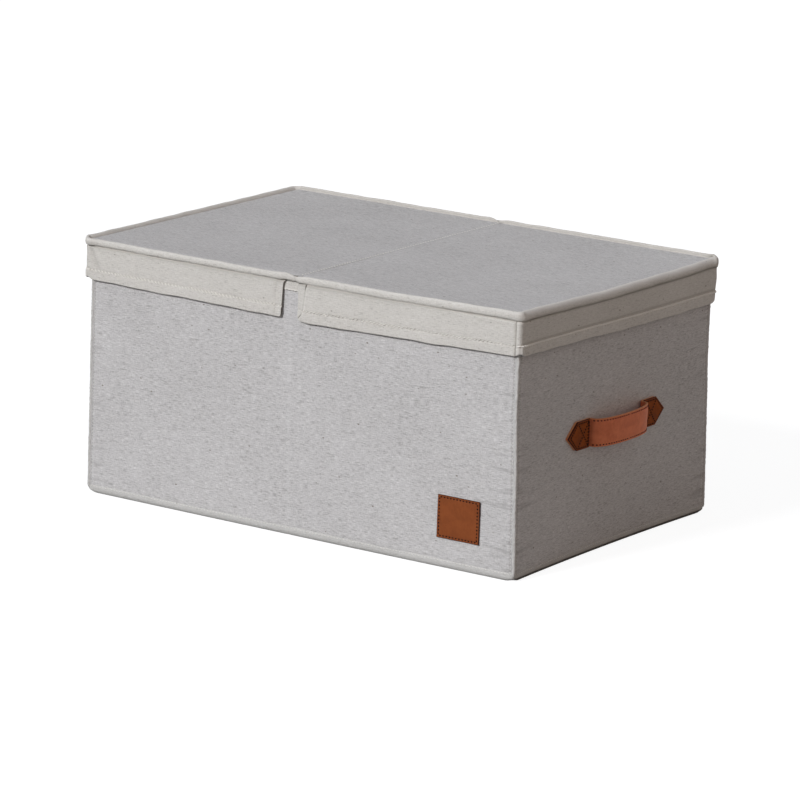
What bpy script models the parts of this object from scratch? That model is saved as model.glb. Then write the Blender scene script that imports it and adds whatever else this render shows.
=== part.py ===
"""Canvas storage box with a folding two-panel lid, modelled piece by piece.

Units are metres and +Z is up. The origin is the centre of the underside, +X runs along the length
and the front faces -Y. The tub is canvas over stiff boards with a lining and a loose folding base
board. The lid lifts off, and each of its halves swings up at the crease. Each end has a leather strap.
"""

from math import cos, pi, sin

import bmesh
import bpy
from mathutils import Matrix, Vector

MM = 0.001

# The whole box
BOX_LENGTH = 500 * MM
BOX_WIDTH = 350 * MM
BOX_HEIGHT = 260 * MM
SEAT_GAP = 0.3 * MM
CORNER_RADIUS = 5.6 * MM

# Cloth and board
CANVAS_THICKNESS = 1.0 * MM
BOARD_THICKNESS = 2.4 * MM
LINING_THICKNESS = 0.8 * MM
BOARD_CREASE = 3.0 * MM

# Floor cloth and bindings
FLOOR_CLOTH_THICKNESS = 1.2 * MM
BOTTOM_BINDING_HEIGHT = 9.0 * MM
RIM_BINDING_HEIGHT = 10.0 * MM
RIM_BINDING_TOP = 0.8 * MM

# Corner welts
WELT_WIDTH = 3.6 * MM
WELT_PROUD = 0.6 * MM
WELT_CHAMFER = 1.0 * MM

# Loose base board
BASE_CLEARANCE = 1.2 * MM
BASE_BOARD_THICKNESS = 3.0 * MM
BASE_COVER_THICKNESS = 0.8 * MM
BASE_STRIP_WIDTH = 4.4 * MM

# Lid
LID_OVERHANG = 5.2 * MM
LID_CORNER_RADIUS = 6.0 * MM
PIPING_WIDTH = 4.5 * MM
PIPING_HEIGHT = 8.5 * MM
PIPING_PROUD = 3.0 * MM
LID_STRIP_WIDTH = 6.0 * MM
SKIRT_THICKNESS = 1.8 * MM
SKIRT_DEPTH = 45.5 * MM
SKIRT_SETBACK = 1.6 * MM
LEFT_LIP_SPACE = 17.0 * MM
RIGHT_LIP_SPACE = 0.6 * MM
LIP_CORNER_RADIUS = 3.0 * MM

# Leather handles
HANDLE_HEIGHT = 122.0 * MM
STRAP_WIDTH = 28.0 * MM
STRAP_THICKNESS = 2.2 * MM
STRAP_CHAMFER = 0.4 * MM
STRAP_REACH = 17.5 * MM
STRAP_HALF_SPAN = 47.0 * MM
STRAP_SWING_HALF_SPAN = 40.0 * MM
STRAP_BEND_RADIUS = 2.5 * MM
STRAP_FULLNESS = 2.4
TAB_HEIGHT = 28.5 * MM
TAB_SHOULDER = 22.0 * MM
TAB_POINT = 16.0 * MM
TAB_THICKNESS = 1.6 * MM

# Leather patch
PATCH_WIDTH = 46.0 * MM
PATCH_HEIGHT = 42.0 * MM
PATCH_THICKNESS = 1.5 * MM
PATCH_FROM_SIDE = 36.5 * MM
PATCH_FROM_FLOOR = 29.5 * MM

# Fineness of round shapes
ARC_STEPS = 4
ROLL_STEPS = 12
ARCH_STEPS = 12

# Heights and depths worked out from the sizes above
HALF_LENGTH = BOX_LENGTH / 2
HALF_WIDTH = BOX_WIDTH / 2
BOARD_DEPTH = CANVAS_THICKNESS + SEAT_GAP
LINING_DEPTH = BOARD_DEPTH + BOARD_THICKNESS + SEAT_GAP
WALL_THICKNESS = LINING_DEPTH + LINING_THICKNESS
BOARD_END_DEPTH = max(CORNER_RADIUS, WALL_THICKNESS, WELT_WIDTH) + SEAT_GAP

FLOOR_TOP = FLOOR_CLOTH_THICKNESS
WALL_FOOT = FLOOR_TOP + SEAT_GAP
COVER_TOP = BOX_HEIGHT - PIPING_PROUD
LID_BOARD_TOP = COVER_TOP - CANVAS_THICKNESS - SEAT_GAP
LID_LINING_TOP = LID_BOARD_TOP - BOARD_THICKNESS - SEAT_GAP
LID_UNDERSIDE = LID_LINING_TOP - LINING_THICKNESS
RIM_TOP = LID_UNDERSIDE - SEAT_GAP
RIM_FOOT = RIM_TOP - RIM_BINDING_HEIGHT
CANVAS_FOOT = BOTTOM_BINDING_HEIGHT + SEAT_GAP
CANVAS_TOP = RIM_FOOT - SEAT_GAP
BOARD_TOP = RIM_TOP - RIM_BINDING_TOP - SEAT_GAP

PLATE_OVERHANG = LID_OVERHANG - PIPING_WIDTH - SEAT_GAP
SKIRT_OUTER = LID_OVERHANG - SKIRT_SETBACK
SKIRT_INNER = SKIRT_OUTER - SKIRT_THICKNESS
SKIRT_TOP = BOX_HEIGHT - PIPING_HEIGHT - SEAT_GAP
SKIRT_FOOT = BOX_HEIGHT - SKIRT_DEPTH
LID_HALF_START = LID_STRIP_WIDTH / 2 + SEAT_GAP
LID_HINGE = LID_STRIP_WIDTH / 2 + SEAT_GAP / 2

BASE_FOOT = FLOOR_TOP + SEAT_GAP
BASE_TOP = BASE_FOOT + BASE_BOARD_THICKNESS + SEAT_GAP + BASE_COVER_THICKNESS
BASE_HALF_LENGTH = HALF_LENGTH - WALL_THICKNESS - BASE_CLEARANCE
BASE_HALF_WIDTH = HALF_WIDTH - WALL_THICKNESS - BASE_CLEARANCE
BASE_HALF_START = BASE_STRIP_WIDTH / 2 + SEAT_GAP
BASE_HINGE = BASE_STRIP_WIDTH / 2 + SEAT_GAP / 2
BASE_HINGE_HEIGHT = BASE_TOP + SEAT_GAP / 2

STRAP_FLAT_REACH = SEAT_GAP + STRAP_THICKNESS / 2
TAB_SEAT = SEAT_GAP + STRAP_THICKNESS + SEAT_GAP
TAB_INNER = STRAP_HALF_SPAN + STRAP_BEND_RADIUS
TAB_SHOULDER_AT = TAB_INNER + TAB_SHOULDER
TAB_TIP_AT = TAB_SHOULDER_AT + TAB_POINT

# Colour and roughness of each kind of material
FINISHES = {
    "canvas": ((0.66, 0.64, 0.61), 0.9),
    "cream_cloth": ((0.76, 0.73, 0.68), 0.9),
    "lining": ((0.70, 0.69, 0.67), 0.95),
    "board": ((0.42, 0.38, 0.33), 0.85),
    "strap_leather": ((0.52, 0.23, 0.13), 0.55),
    "tab_leather": ((0.30, 0.12, 0.05), 0.6),
    "patch_leather": ((0.28, 0.13, 0.06), 0.65),
}

SIDES = {"left": -1, "right": 1}
FACES = {"front": -1, "back": 1}


class Axis:
    """An empty that stands on a joint's axis and carries the pieces that move about it."""

    def __init__(self, name, place, carrier=None):
        self.place = Vector(place)
        self.empty = bpy.data.objects.new(name, None)
        bpy.context.collection.objects.link(self.empty)
        self.empty.location = self.place
        if carrier is not None:
            self.empty.parent = carrier.empty
            self.empty.location = self.place - carrier.place


def make_material(name, finish):
    """Make the material of one piece from its kind of finish."""
    colour, roughness = FINISHES[finish]
    material = bpy.data.materials.new(name)
    material.use_nodes = True
    shader = material.node_tree.nodes["Principled BSDF"]
    shader.inputs["Base Color"].default_value = (*colour, 1)
    shader.inputs["Roughness"].default_value = roughness
    shader.inputs["Metallic"].default_value = 0
    return material


def add_piece(name, shape, finish, axis=None):
    """Turn a bmesh in world places into a named object, carried by its joint's axis if it moves."""
    bmesh.ops.recalc_face_normals(shape, faces=shape.faces)
    mesh = bpy.data.meshes.new(name)
    shape.to_mesh(mesh)
    shape.free()
    piece = bpy.data.objects.new(name, mesh)
    bpy.context.collection.objects.link(piece)
    mesh.materials.append(make_material(name, finish))
    if axis is not None:
        mesh.transform(Matrix.Translation(-axis.place))
        piece.parent = axis.empty
    return piece


def block(low, high):
    """Make a box between two opposite corners, given in either order."""
    low, high = Vector(low), Vector(high)
    size = high - low
    shape = bmesh.new()
    place = Matrix.Translation((low + high) / 2) @ Matrix.Diagonal((*map(abs, size), 1))
    bmesh.ops.create_cube(shape, size=1, matrix=place)
    return shape


def prism(outline, along):
    """Extrude a flat outline of points along a vector."""
    shape = bmesh.new()
    face = shape.faces.new([shape.verts.new(point) for point in outline])
    grown = bmesh.ops.extrude_face_region(shape, geom=[face])["geom"]
    moved = [item for item in grown if isinstance(item, bmesh.types.BMVert)]
    bmesh.ops.translate(shape, verts=moved, vec=along)
    return shape


def sweep(stations, section, closed=False):
    """Carry a section along a level path.

    A station is a point and the level normal that points out of the path. A section point is a depth
    in from the path and a height.
    """
    shape = bmesh.new()
    rings = []
    for point, normal in stations:
        places = [Vector(point) - Vector(normal) * depth for depth, height in section]
        rings.append([
            shape.verts.new((place.x, place.y, height))
            for place, (depth, height) in zip(places, section)
        ])
    pairs = list(zip(rings, rings[1:]))
    if closed:
        pairs.append((rings[-1], rings[0]))
    else:
        shape.faces.new(rings[0])
        shape.faces.new(rings[-1])
    for ring, following in pairs:
        for index in range(len(section)):
            shape.faces.new((ring[index - 1], ring[index], following[index], following[index - 1]))
    return shape


def cut_away(shape, point, normal):
    """Cut a closed shape at a plane, drop the side that the normal points to, and close the cut."""
    bmesh.ops.bisect_plane(
        shape,
        geom=[*shape.verts, *shape.edges, *shape.faces],
        plane_co=point,
        plane_no=normal,
        clear_outer=True,
    )
    rim = [edge for edge in shape.edges if edge.is_boundary]
    bmesh.ops.holes_fill(shape, edges=rim)


def corner_arc(centre, radius, start):
    """List the points and normals of a quarter turn round a centre, from a start angle."""
    turns = [start + step * pi / 2 / ARC_STEPS for step in range(ARC_STEPS + 1)]
    normals = [Vector((cos(turn), sin(turn), 0)) for turn in turns]
    return [(Vector((*centre, 0)) + normal * radius, normal) for normal in normals]


def rounded_rectangle(half_x, half_y, radius):
    """List the points and normals of a level rectangle with round corners."""
    across, along = half_x - radius, half_y - radius
    centres = ((across, along), (-across, along), (-across, -along), (across, -along))
    stations = []
    for quarter, centre in enumerate(centres):
        stations += corner_arc(centre, radius, quarter * pi / 2)
    return stations


def tub_outline():
    """The level outline of the tub's outer faces."""
    return rounded_rectangle(HALF_LENGTH, HALF_WIDTH, CORNER_RADIUS)


def build_walls():
    """Make the boards and the outer canvas of the four walls."""
    for face, facing in FACES.items():
        outer, inner = HALF_WIDTH - BOARD_DEPTH, HALF_WIDTH - BOARD_DEPTH - BOARD_THICKNESS
        for side, hand in SIDES.items():
            shape = block(
                (hand * BOARD_CREASE / 2, facing * outer, WALL_FOOT),
                (hand * (HALF_LENGTH - BOARD_END_DEPTH), facing * inner, BOARD_TOP),
            )
            add_piece(f"{face}_board_{side}", shape, "board")
        reach = HALF_LENGTH - WELT_WIDTH
        shape = block(
            (-reach, facing * HALF_WIDTH, CANVAS_FOOT),
            (reach, facing * (HALF_WIDTH - CANVAS_THICKNESS), CANVAS_TOP),
        )
        add_piece(f"{face}_canvas", shape, "canvas")
    for side, hand in SIDES.items():
        outer, inner = HALF_LENGTH - BOARD_DEPTH, HALF_LENGTH - BOARD_DEPTH - BOARD_THICKNESS
        reach = HALF_WIDTH - BOARD_END_DEPTH
        shape = block((hand * outer, -reach, WALL_FOOT), (hand * inner, reach, BOARD_TOP))
        add_piece(f"{side}_end_board", shape, "board")
        reach = HALF_WIDTH - WELT_WIDTH
        shape = block(
            (hand * HALF_LENGTH, -reach, CANVAS_FOOT),
            (hand * (HALF_LENGTH - CANVAS_THICKNESS), reach, CANVAS_TOP),
        )
        add_piece(f"{side}_end_canvas", shape, "canvas")


def build_corner_welts():
    """Make the four upright welts where the canvas of two walls is sewn together."""
    inner = WELT_WIDTH - SEAT_GAP
    for face, facing in FACES.items():
        for side, hand in SIDES.items():
            section = (
                (inner, inner),
                (inner, -WELT_PROUD),
                (WELT_CHAMFER - WELT_PROUD, -WELT_PROUD),
                (-WELT_PROUD, WELT_CHAMFER - WELT_PROUD),
                (-WELT_PROUD, inner),
            )
            outline = [
                (hand * (HALF_LENGTH - across), facing * (HALF_WIDTH - along), CANVAS_FOOT)
                for across, along in section
            ]
            shape = prism(outline, (0, 0, CANVAS_TOP - CANVAS_FOOT))
            add_piece(f"corner_welt_{face}_{side}", shape, "cream_cloth")


def build_bindings():
    """Make the binding round the foot and the one folded over the rim."""
    foot = (
        (0, SEAT_GAP),
        (0, BOTTOM_BINDING_HEIGHT),
        (CANVAS_THICKNESS, BOTTOM_BINDING_HEIGHT),
        (CANVAS_THICKNESS, SEAT_GAP),
    )
    add_piece("bottom_binding", sweep(tub_outline(), foot, closed=True), "cream_cloth")
    fold = RIM_TOP - RIM_BINDING_TOP
    rim = (
        (0, RIM_FOOT),
        (0, RIM_TOP),
        (WALL_THICKNESS, RIM_TOP),
        (WALL_THICKNESS, RIM_FOOT),
        (LINING_DEPTH, RIM_FOOT),
        (LINING_DEPTH, fold),
        (CANVAS_THICKNESS, fold),
        (CANVAS_THICKNESS, RIM_FOOT),
    )
    add_piece("rim_binding", sweep(tub_outline(), rim, closed=True), "cream_cloth")


def build_lining_and_floor():
    """Make the lining inside the walls and the cloth that is sewn in as the floor."""
    section = (
        (LINING_DEPTH, WALL_FOOT),
        (LINING_DEPTH, CANVAS_TOP),
        (WALL_THICKNESS, CANVAS_TOP),
        (WALL_THICKNESS, WALL_FOOT),
    )
    add_piece("inner_lining", sweep(tub_outline(), section, closed=True), "lining")
    inset = CANVAS_THICKNESS + SEAT_GAP
    edge = rounded_rectangle(HALF_LENGTH - inset, HALF_WIDTH - inset, CORNER_RADIUS - inset)
    shape = prism([point for point, normal in edge], (0, 0, FLOOR_CLOTH_THICKNESS))
    add_piece("floor_cloth", shape, "canvas")


def build_patch():
    """Make the bare leather patch on the front's lower right."""
    right = HALF_LENGTH - PATCH_FROM_SIDE
    seat = HALF_WIDTH + SEAT_GAP
    shape = block(
        (right - PATCH_WIDTH, -seat, PATCH_FROM_FLOOR),
        (right, -seat - PATCH_THICKNESS, PATCH_FROM_FLOOR + PATCH_HEIGHT),
    )
    add_piece("leather_patch", shape, "patch_leather")


def build_base():
    """Make the loose base: two cloth-covered boards that fold together at the middle."""
    hinge = Axis("base_fold_axis", (BASE_HINGE, 0, BASE_HINGE_HEIGHT))
    wrap = BASE_COVER_THICKNESS + SEAT_GAP
    for side, hand in SIDES.items():
        axis = hinge if side == "right" else None
        shape = block(
            (hand * (BASE_HALF_START + wrap), -(BASE_HALF_WIDTH - wrap), BASE_FOOT),
            (hand * (BASE_HALF_LENGTH - wrap), BASE_HALF_WIDTH - wrap, BASE_FOOT + BASE_BOARD_THICKNESS),
        )
        add_piece(f"base_board_{side}", shape, "board", axis)
        shape = block(
            (hand * BASE_HALF_START, -BASE_HALF_WIDTH, BASE_FOOT),
            (hand * BASE_HALF_LENGTH, BASE_HALF_WIDTH, BASE_TOP),
        )
        bmesh.ops.recalc_face_normals(shape, faces=shape.faces)
        underside = min(shape.faces, key=lambda face: face.normal.z)
        bmesh.ops.delete(shape, geom=[underside], context="FACES_ONLY")
        cover = add_piece(f"base_cover_{side}", shape, "lining", axis)
        wall = cover.modifiers.new("cloth", "SOLIDIFY")
        wall.thickness = BASE_COVER_THICKNESS
        wall.offset = -1
        wall.use_even_offset = True
    half = BASE_STRIP_WIDTH / 2
    shape = block(
        (-half, -BASE_HALF_WIDTH, BASE_TOP - BASE_COVER_THICKNESS),
        (half, BASE_HALF_WIDTH, BASE_TOP),
    )
    add_piece("base_crease_strip", shape, "lining")


def piping_section():
    """The oval section of the lid's piping, as depths in from its outer edge and heights."""
    turns = [step * 2 * pi / ROLL_STEPS for step in range(ROLL_STEPS)]
    middle = BOX_HEIGHT - PIPING_HEIGHT / 2
    return [
        (PIPING_WIDTH / 2 * (1 + cos(turn)), middle + PIPING_HEIGHT / 2 * sin(turn))
        for turn in turns
    ]


def half_lid_path(hand, inset):
    """The path round one half of the lid: out from the crease, round two corners and back."""
    radius = LID_CORNER_RADIUS - inset
    reach, side = HALF_LENGTH + LID_OVERHANG - inset, HALF_WIDTH + LID_OVERHANG - inset
    corner = (reach - radius, side - radius)
    stations = [(Vector((LID_HALF_START, -side, 0)), Vector((0, -1, 0)))]
    stations += corner_arc((corner[0], -corner[1]), radius, -pi / 2)
    stations += corner_arc(corner, radius, 0)
    stations += [(Vector((LID_HALF_START, side, 0)), Vector((0, 1, 0)))]
    mirror = Matrix.Diagonal((hand, 1, 1))
    return [(mirror @ point, mirror @ normal) for point, normal in stations]


def lip_outline(start, corner, facing):
    """The outline of a front or back skirt, with its free lower corner rounded."""
    radius = LIP_CORNER_RADIUS
    hand = 1 if corner > start else -1
    turns = [step * pi / 2 / ARC_STEPS for step in range(ARC_STEPS + 1)]
    across = [start + hand * radius * (1 - cos(turn)) for turn in turns]
    heights = [SKIRT_FOOT + radius * (1 - sin(turn)) for turn in turns]
    points = [(corner, SKIRT_FOOT), (corner, SKIRT_TOP), (start, SKIRT_TOP), *zip(across, heights)]
    return [(x, facing * (HALF_WIDTH + SKIRT_INNER), z) for x, z in points]


def build_lid_half(side, carrier):
    """Make one half of the lid: cover, board, lining, piping and the three skirts."""
    hand = SIDES[side]
    axis = Axis(f"lid_{side}_axis", (hand * LID_HINGE, 0, BOX_HEIGHT), carrier)
    layers = (
        ("lid_cover", COVER_TOP, CANVAS_THICKNESS, "canvas"),
        ("lid_board", LID_BOARD_TOP, BOARD_THICKNESS, "board"),
        ("lid_lining", LID_LINING_TOP, LINING_THICKNESS, "lining"),
    )
    plate = [point for point, normal in half_lid_path(hand, PIPING_WIDTH + SEAT_GAP)]
    for name, top, thickness, finish in layers:
        shape = prism([(x, y, top) for x, y, z in plate], (0, 0, -thickness))
        add_piece(f"{name}_{side}", shape, finish, axis)
    shape = sweep(half_lid_path(hand, 0), piping_section())
    add_piece(f"lid_piping_{side}", shape, "cream_cloth", axis)
    space = LEFT_LIP_SPACE if side == "left" else RIGHT_LIP_SPACE
    for face, facing in FACES.items():
        outline = lip_outline(hand * space, hand * (HALF_LENGTH + SKIRT_OUTER), facing)
        shape = prism(outline, (0, facing * SKIRT_THICKNESS, 0))
        add_piece(f"lid_skirt_{side}_{face}", shape, "cream_cloth", axis)
    reach = HALF_WIDTH + SKIRT_INNER - SEAT_GAP
    shape = block(
        (hand * (HALF_LENGTH + SKIRT_INNER), -reach, SKIRT_FOOT),
        (hand * (HALF_LENGTH + SKIRT_OUTER), reach, SKIRT_TOP),
    )
    add_piece(f"lid_skirt_{side}_end", shape, "cream_cloth", axis)


def build_lid():
    """Make the lid: the strip at its crease and the half that hangs on each side of it."""
    lift = Axis("lid_lift_axis", (0, 0, BOX_HEIGHT))
    half, edge = LID_STRIP_WIDTH / 2, HALF_WIDTH + PLATE_OVERHANG
    shape = block((-half, -edge, COVER_TOP - CANVAS_THICKNESS), (half, edge, COVER_TOP))
    add_piece("lid_crease_strip", shape, "canvas", lift)
    for face, facing in FACES.items():
        normal = Vector((0, facing, 0))
        outer = normal * (HALF_WIDTH + LID_OVERHANG)
        ends = [(outer + Vector((x, 0, 0)), normal) for x in (-half, half)]
        add_piece(f"lid_crease_piping_{face}", sweep(ends, piping_section()), "cream_cloth", lift)
    for side in SIDES:
        build_lid_half(side, lift)


def strap_half_path():
    """Half of a strap's centre line, seen from above, as (along, out) points with their normals.

    It runs from the crest of the bow down a full round arch, turns outward in a tight bend and ends
    flat under the tab's tip.
    """
    start = STRAP_FLAT_REACH + STRAP_BEND_RADIUS
    rise = STRAP_REACH - start
    power = 2 / STRAP_FULLNESS
    path = []
    for step in range(ARCH_STEPS + 1):
        turn = pi / 2 * (1 - step / ARCH_STEPS)
        along, out = max(cos(turn), 0) ** power, max(sin(turn), 0) ** power
        slope = STRAP_FULLNESS - 1
        normal = Vector((along ** slope / STRAP_HALF_SPAN, out ** slope / rise)).normalized()
        path.append((Vector((along * STRAP_HALF_SPAN, start + out * rise)), normal))
    for step in range(1, ARC_STEPS + 1):
        turn = pi / 2 * step / ARC_STEPS
        normal = Vector((cos(turn), sin(turn)))
        centre = Vector((TAB_INNER, start))
        path.append((centre - normal * STRAP_BEND_RADIUS, normal))
    path.append((Vector((TAB_TIP_AT, STRAP_FLAT_REACH)), Vector((0, 1))))
    return path


def whole_strap(hand):
    """Make a whole strap from tab tip to tab tip, before it is cut where its swing ends."""
    half = strap_half_path()
    mirrored = [(Vector((-p.x, p.y)), Vector((-n.x, n.y))) for p, n in reversed(half[1:])]
    stations = [
        (Vector((hand * (HALF_LENGTH + p.y), p.x, 0)), Vector((hand * n.y, n.x, 0)))
        for p, n in mirrored + half
    ]
    depth, reach = STRAP_THICKNESS / 2, STRAP_WIDTH / 2
    cut = STRAP_CHAMFER
    corners = (
        (-depth, -reach + cut),
        (-depth, reach - cut),
        (-depth + cut, reach),
        (depth - cut, reach),
        (depth, reach - cut),
        (depth, -reach + cut),
        (depth - cut, -reach),
        (-depth + cut, -reach),
    )
    return sweep(stations, [(across, HANDLE_HEIGHT + height) for across, height in corners])


def tab_outline(hand, facing):
    """The pointed outline of a tab, inner edge first, on its seat over the strap's end."""
    seat = hand * (HALF_LENGTH + TAB_SEAT)
    half = TAB_HEIGHT / 2
    points = (
        (TAB_INNER, -half),
        (TAB_INNER, half),
        (TAB_SHOULDER_AT, half),
        (TAB_TIP_AT, 0),
        (TAB_SHOULDER_AT, -half),
    )
    return [(seat, facing * along, HANDLE_HEIGHT + height) for along, height in points]


def build_handle(side):
    """Make one end's handle: the swinging middle of the strap, its sewn ends and their tabs."""
    hand = SIDES[side]
    swing = Axis(f"{side}_handle_axis", (hand * HALF_LENGTH, 0, HANDLE_HEIGHT))
    middle = whole_strap(hand)
    for facing in FACES.values():
        cut_away(middle, (0, facing * STRAP_SWING_HALF_SPAN, 0), (0, facing, 0))
    add_piece(f"{side}_handle_strap", middle, "strap_leather", swing)
    for face, facing in FACES.items():
        end = whole_strap(hand)
        cut_away(end, (0, facing * (STRAP_SWING_HALF_SPAN + SEAT_GAP), 0), (0, -facing, 0))
        tip = Vector((0, facing * TAB_TIP_AT, HANDLE_HEIGHT))
        for way in (-1, 1):
            cut_away(end, tip, (0, facing * TAB_HEIGHT / 2, way * TAB_POINT))
        add_piece(f"{side}_strap_end_{face}", end, "strap_leather")
        shape = prism(tab_outline(hand, facing), (hand * TAB_THICKNESS, 0, 0))
        add_piece(f"{side}_handle_tab_{face}", shape, "tab_leather")


def main():
    """Clear the scene and build the box."""
    for item in list(bpy.data.objects):
        bpy.data.objects.remove(item, do_unlink=True)
    build_walls()
    build_corner_welts()
    build_bindings()
    build_lining_and_floor()
    build_patch()
    build_base()
    build_lid()
    for side in SIDES:
        build_handle(side)


main()
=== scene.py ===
import logging
from collections.abc import Callable, Sequence
from dataclasses import dataclass, field, replace
from enum import Enum
from functools import partial

import bpy
import numpy as np
from mathutils import Matrix, Vector


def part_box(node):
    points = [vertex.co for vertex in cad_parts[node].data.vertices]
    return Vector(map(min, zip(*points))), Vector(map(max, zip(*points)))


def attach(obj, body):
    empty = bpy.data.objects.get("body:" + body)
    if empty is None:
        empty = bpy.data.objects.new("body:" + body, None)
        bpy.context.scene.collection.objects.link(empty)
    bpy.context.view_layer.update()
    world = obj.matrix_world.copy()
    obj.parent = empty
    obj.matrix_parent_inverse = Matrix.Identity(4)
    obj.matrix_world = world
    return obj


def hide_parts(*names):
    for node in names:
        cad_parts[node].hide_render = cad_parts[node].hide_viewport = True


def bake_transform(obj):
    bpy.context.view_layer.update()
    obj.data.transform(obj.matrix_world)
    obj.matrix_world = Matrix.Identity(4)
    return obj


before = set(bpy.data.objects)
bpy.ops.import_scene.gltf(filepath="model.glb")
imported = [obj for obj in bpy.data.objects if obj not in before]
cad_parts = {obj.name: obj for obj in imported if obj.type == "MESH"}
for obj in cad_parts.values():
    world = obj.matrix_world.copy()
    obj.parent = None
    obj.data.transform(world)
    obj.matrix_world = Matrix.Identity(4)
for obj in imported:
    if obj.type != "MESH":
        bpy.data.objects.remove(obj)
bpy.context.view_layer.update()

log = logging.getLogger("storage_box")
MM = 0.001
UP = np.array([0.0, 0.0, 1.0])
CLOTH_MAP = "cloth"
# The point attribute that carries cut edges and wear, and painted light and shade.
MARKS_AND_PAINTED_LIGHT = "rub"

Array = np.ndarray
Field = Callable[[Array, Array], Array]
Socket = bpy.types.NodeSocket
Triple = tuple[float, float, float]
Terms = tuple[Triple, ...]
Colour = Triple


# Small formulas that the surfaces share. Lengths are millimetres until make_piece turns them into metres.


def ease(value: Array) -> Array:
    """Return 0 below 0, 1 above 1, and the smooth curve 3 t^2 - 2 t^3 between."""
    t = np.clip(value, 0, 1)
    return t * t * (3 - 2 * t)


def bell(distance: Array, width: float) -> Array:
    """Return the Gaussian exp(-(distance / width)^2)."""
    return np.exp(-((distance / width) ** 2))


def bumps(distance: Array, *terms: Triple) -> Array:
    """Sum Gaussians of a distance, each given by its height, its place and its width."""
    return sum(height * bell(distance - place, width) for height, place, width in terms)


def unit(vectors: Array) -> Array:
    """Scale vectors to a length of 1."""
    return vectors / np.linalg.norm(vectors, axis=-1, keepdims=True)


def travelled(points: Array) -> Array:
    """The length along a line of points at each of them."""
    return np.concatenate([[0], np.cumsum(np.linalg.norm(np.diff(points, axis=0), axis=1))])


def wander(x: Array, wavelength: float, seed: int) -> Array:
    """Sum five sines near one wavelength into a wandering line.

    Args:
        x: Places along the line.
        wavelength: The middle one of the sines' lengths.
        seed: Picks the phases.

    Returns:
        Values from about -1 to 1.
    """
    rng = np.random.default_rng(seed)
    total = np.zeros_like(x, dtype=float)
    for share in (0.55, 0.74, 1.0, 1.43, 2.1):
        total = total + np.sin(2 * np.pi * (x / (wavelength * share) + rng.random()))
    return total / 3


def drift(x: Array, y: Array, wavelength: float, seed: int) -> Array:
    """Sum seven plane waves in seeded directions into gentle hills.

    Args:
        x, y: Places along two directions.
        wavelength: The middle one of the waves' lengths.
        seed: Picks the directions and phases.

    Returns:
        Values from about -1 to 1.
    """
    rng = np.random.default_rng(seed)
    total = np.zeros(np.broadcast(x, y).shape)
    for turn, phase, share in zip(rng.random(7) * np.pi, rng.random(7), np.linspace(0.6, 1.7, 7)):
        along = x * np.cos(turn) + y * np.sin(turn)
        total = total + np.sin(2 * np.pi * (along / (wavelength * share) + phase))
    return total / 3.5


def puckers(away: Array, level: Array, span: tuple[float, float], seed: int,
            spacing: float = 4.6, reach: float = 16.0) -> Array:
    """Short wrinkles that run out from a seam, deepest at the seam.

    Each is a Gaussian ridge across `level` that fades as a Gaussian of `away` and drifts sideways.

    Args:
        away: Distance from the seam.
        level: Place along the seam.
        span: Where the wrinkles start and end along it.
        seed: Picks each wrinkle's place, length and strength.
        spacing: The mean distance between wrinkles.
        reach: Their mean length.

    Returns:
        Relief from about -1 to 1.
    """
    rng = np.random.default_rng(seed)
    count = max(2, round((span[1] - span[0]) / spacing))
    total = np.zeros(np.broadcast(away, level).shape)
    for at in span[0] + (np.arange(count) + rng.random(count)) * (span[1] - span[0]) / count:
        slant, length = rng.normal(0, 0.12), reach * rng.uniform(0.4, 1.8)
        strength, width = rng.uniform(-1, 0.7), rng.uniform(0.9, 1.7)
        total = total + strength * bell(level - at - slant * away, width) * bell(away, length)
    return total


def stations(start: float, end: float, pitch: float, *fine: Triple, edge: float = 0.07) -> Array:
    """Places from start to end, close together at both ends and near the fine places.

    The spacing wanted is the least of the pitch, a cone that rises from `edge` at each end, and a
    cone round each fine place. The places are read off the running sum of its inverse.

    Args:
        start, end: The first and the last place.
        pitch: The widest spacing.
        fine: For each fine place, where it is, how far it reaches, and its spacing.
        edge: The spacing at the ends.

    Returns:
        The places in rising order.
    """
    dense = np.linspace(start, end, 4001)
    wanted = np.minimum(pitch, edge + 0.4 * np.minimum(dense - start, end - dense))
    for at, reach, spacing in fine:
        wanted = np.minimum(wanted, spacing + 0.3 * np.maximum(0, np.abs(dense - at) - reach))
    density = 1 / np.maximum(wanted, edge)
    run = np.concatenate([[0], np.cumsum((density[1:] + density[:-1]) / 2 * np.diff(dense))])
    return np.interp(np.linspace(0, run[-1], int(np.ceil(run[-1])) + 1), run, dense)


def normals_of(surface: Field, u: Array, v: Array) -> Array:
    """Unit normals of a surface, from the cross product of its slopes over a tenth of a millimetre."""
    step = 0.1
    slopes = surface(u + step, v) - surface(u - step, v), surface(u, v + step) - surface(u, v - step)
    return unit(np.cross(*slopes))


def node_box(name: str) -> Array:
    """The lowest and the highest corner of a CAD node, in millimetres."""
    return np.array([list(corner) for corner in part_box(name)]) / MM


class Side(Enum):
    """A wall of the box: the way along it, seen from outside to the right, and the way out."""

    FRONT = ((1, 0, 0), (0, -1, 0))
    BACK = ((-1, 0, 0), (0, 1, 0))
    RIGHT = ((0, 1, 0), (1, 0, 0))
    LEFT = ((0, -1, 0), (-1, 0, 0))

    @property
    def out(self) -> Array:
        """The level direction out of the wall."""
        return np.array(self.value[1], float)

    def place(self, along: Array, out: Array, height: Array) -> Array:
        """Points from a place along the wall, a distance out from the box's middle and a height."""
        way = np.array(self.value[0], float)
        return along[..., None] * way + out[..., None] * self.out + height[..., None] * UP


class Hand(Enum):
    """A half or an end of the box, by the sign of its X."""

    LEFT = -1
    RIGHT = 1

    @property
    def word(self) -> str:
        """The name that pieces and bodies carry."""
        return self.name.lower()


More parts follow.
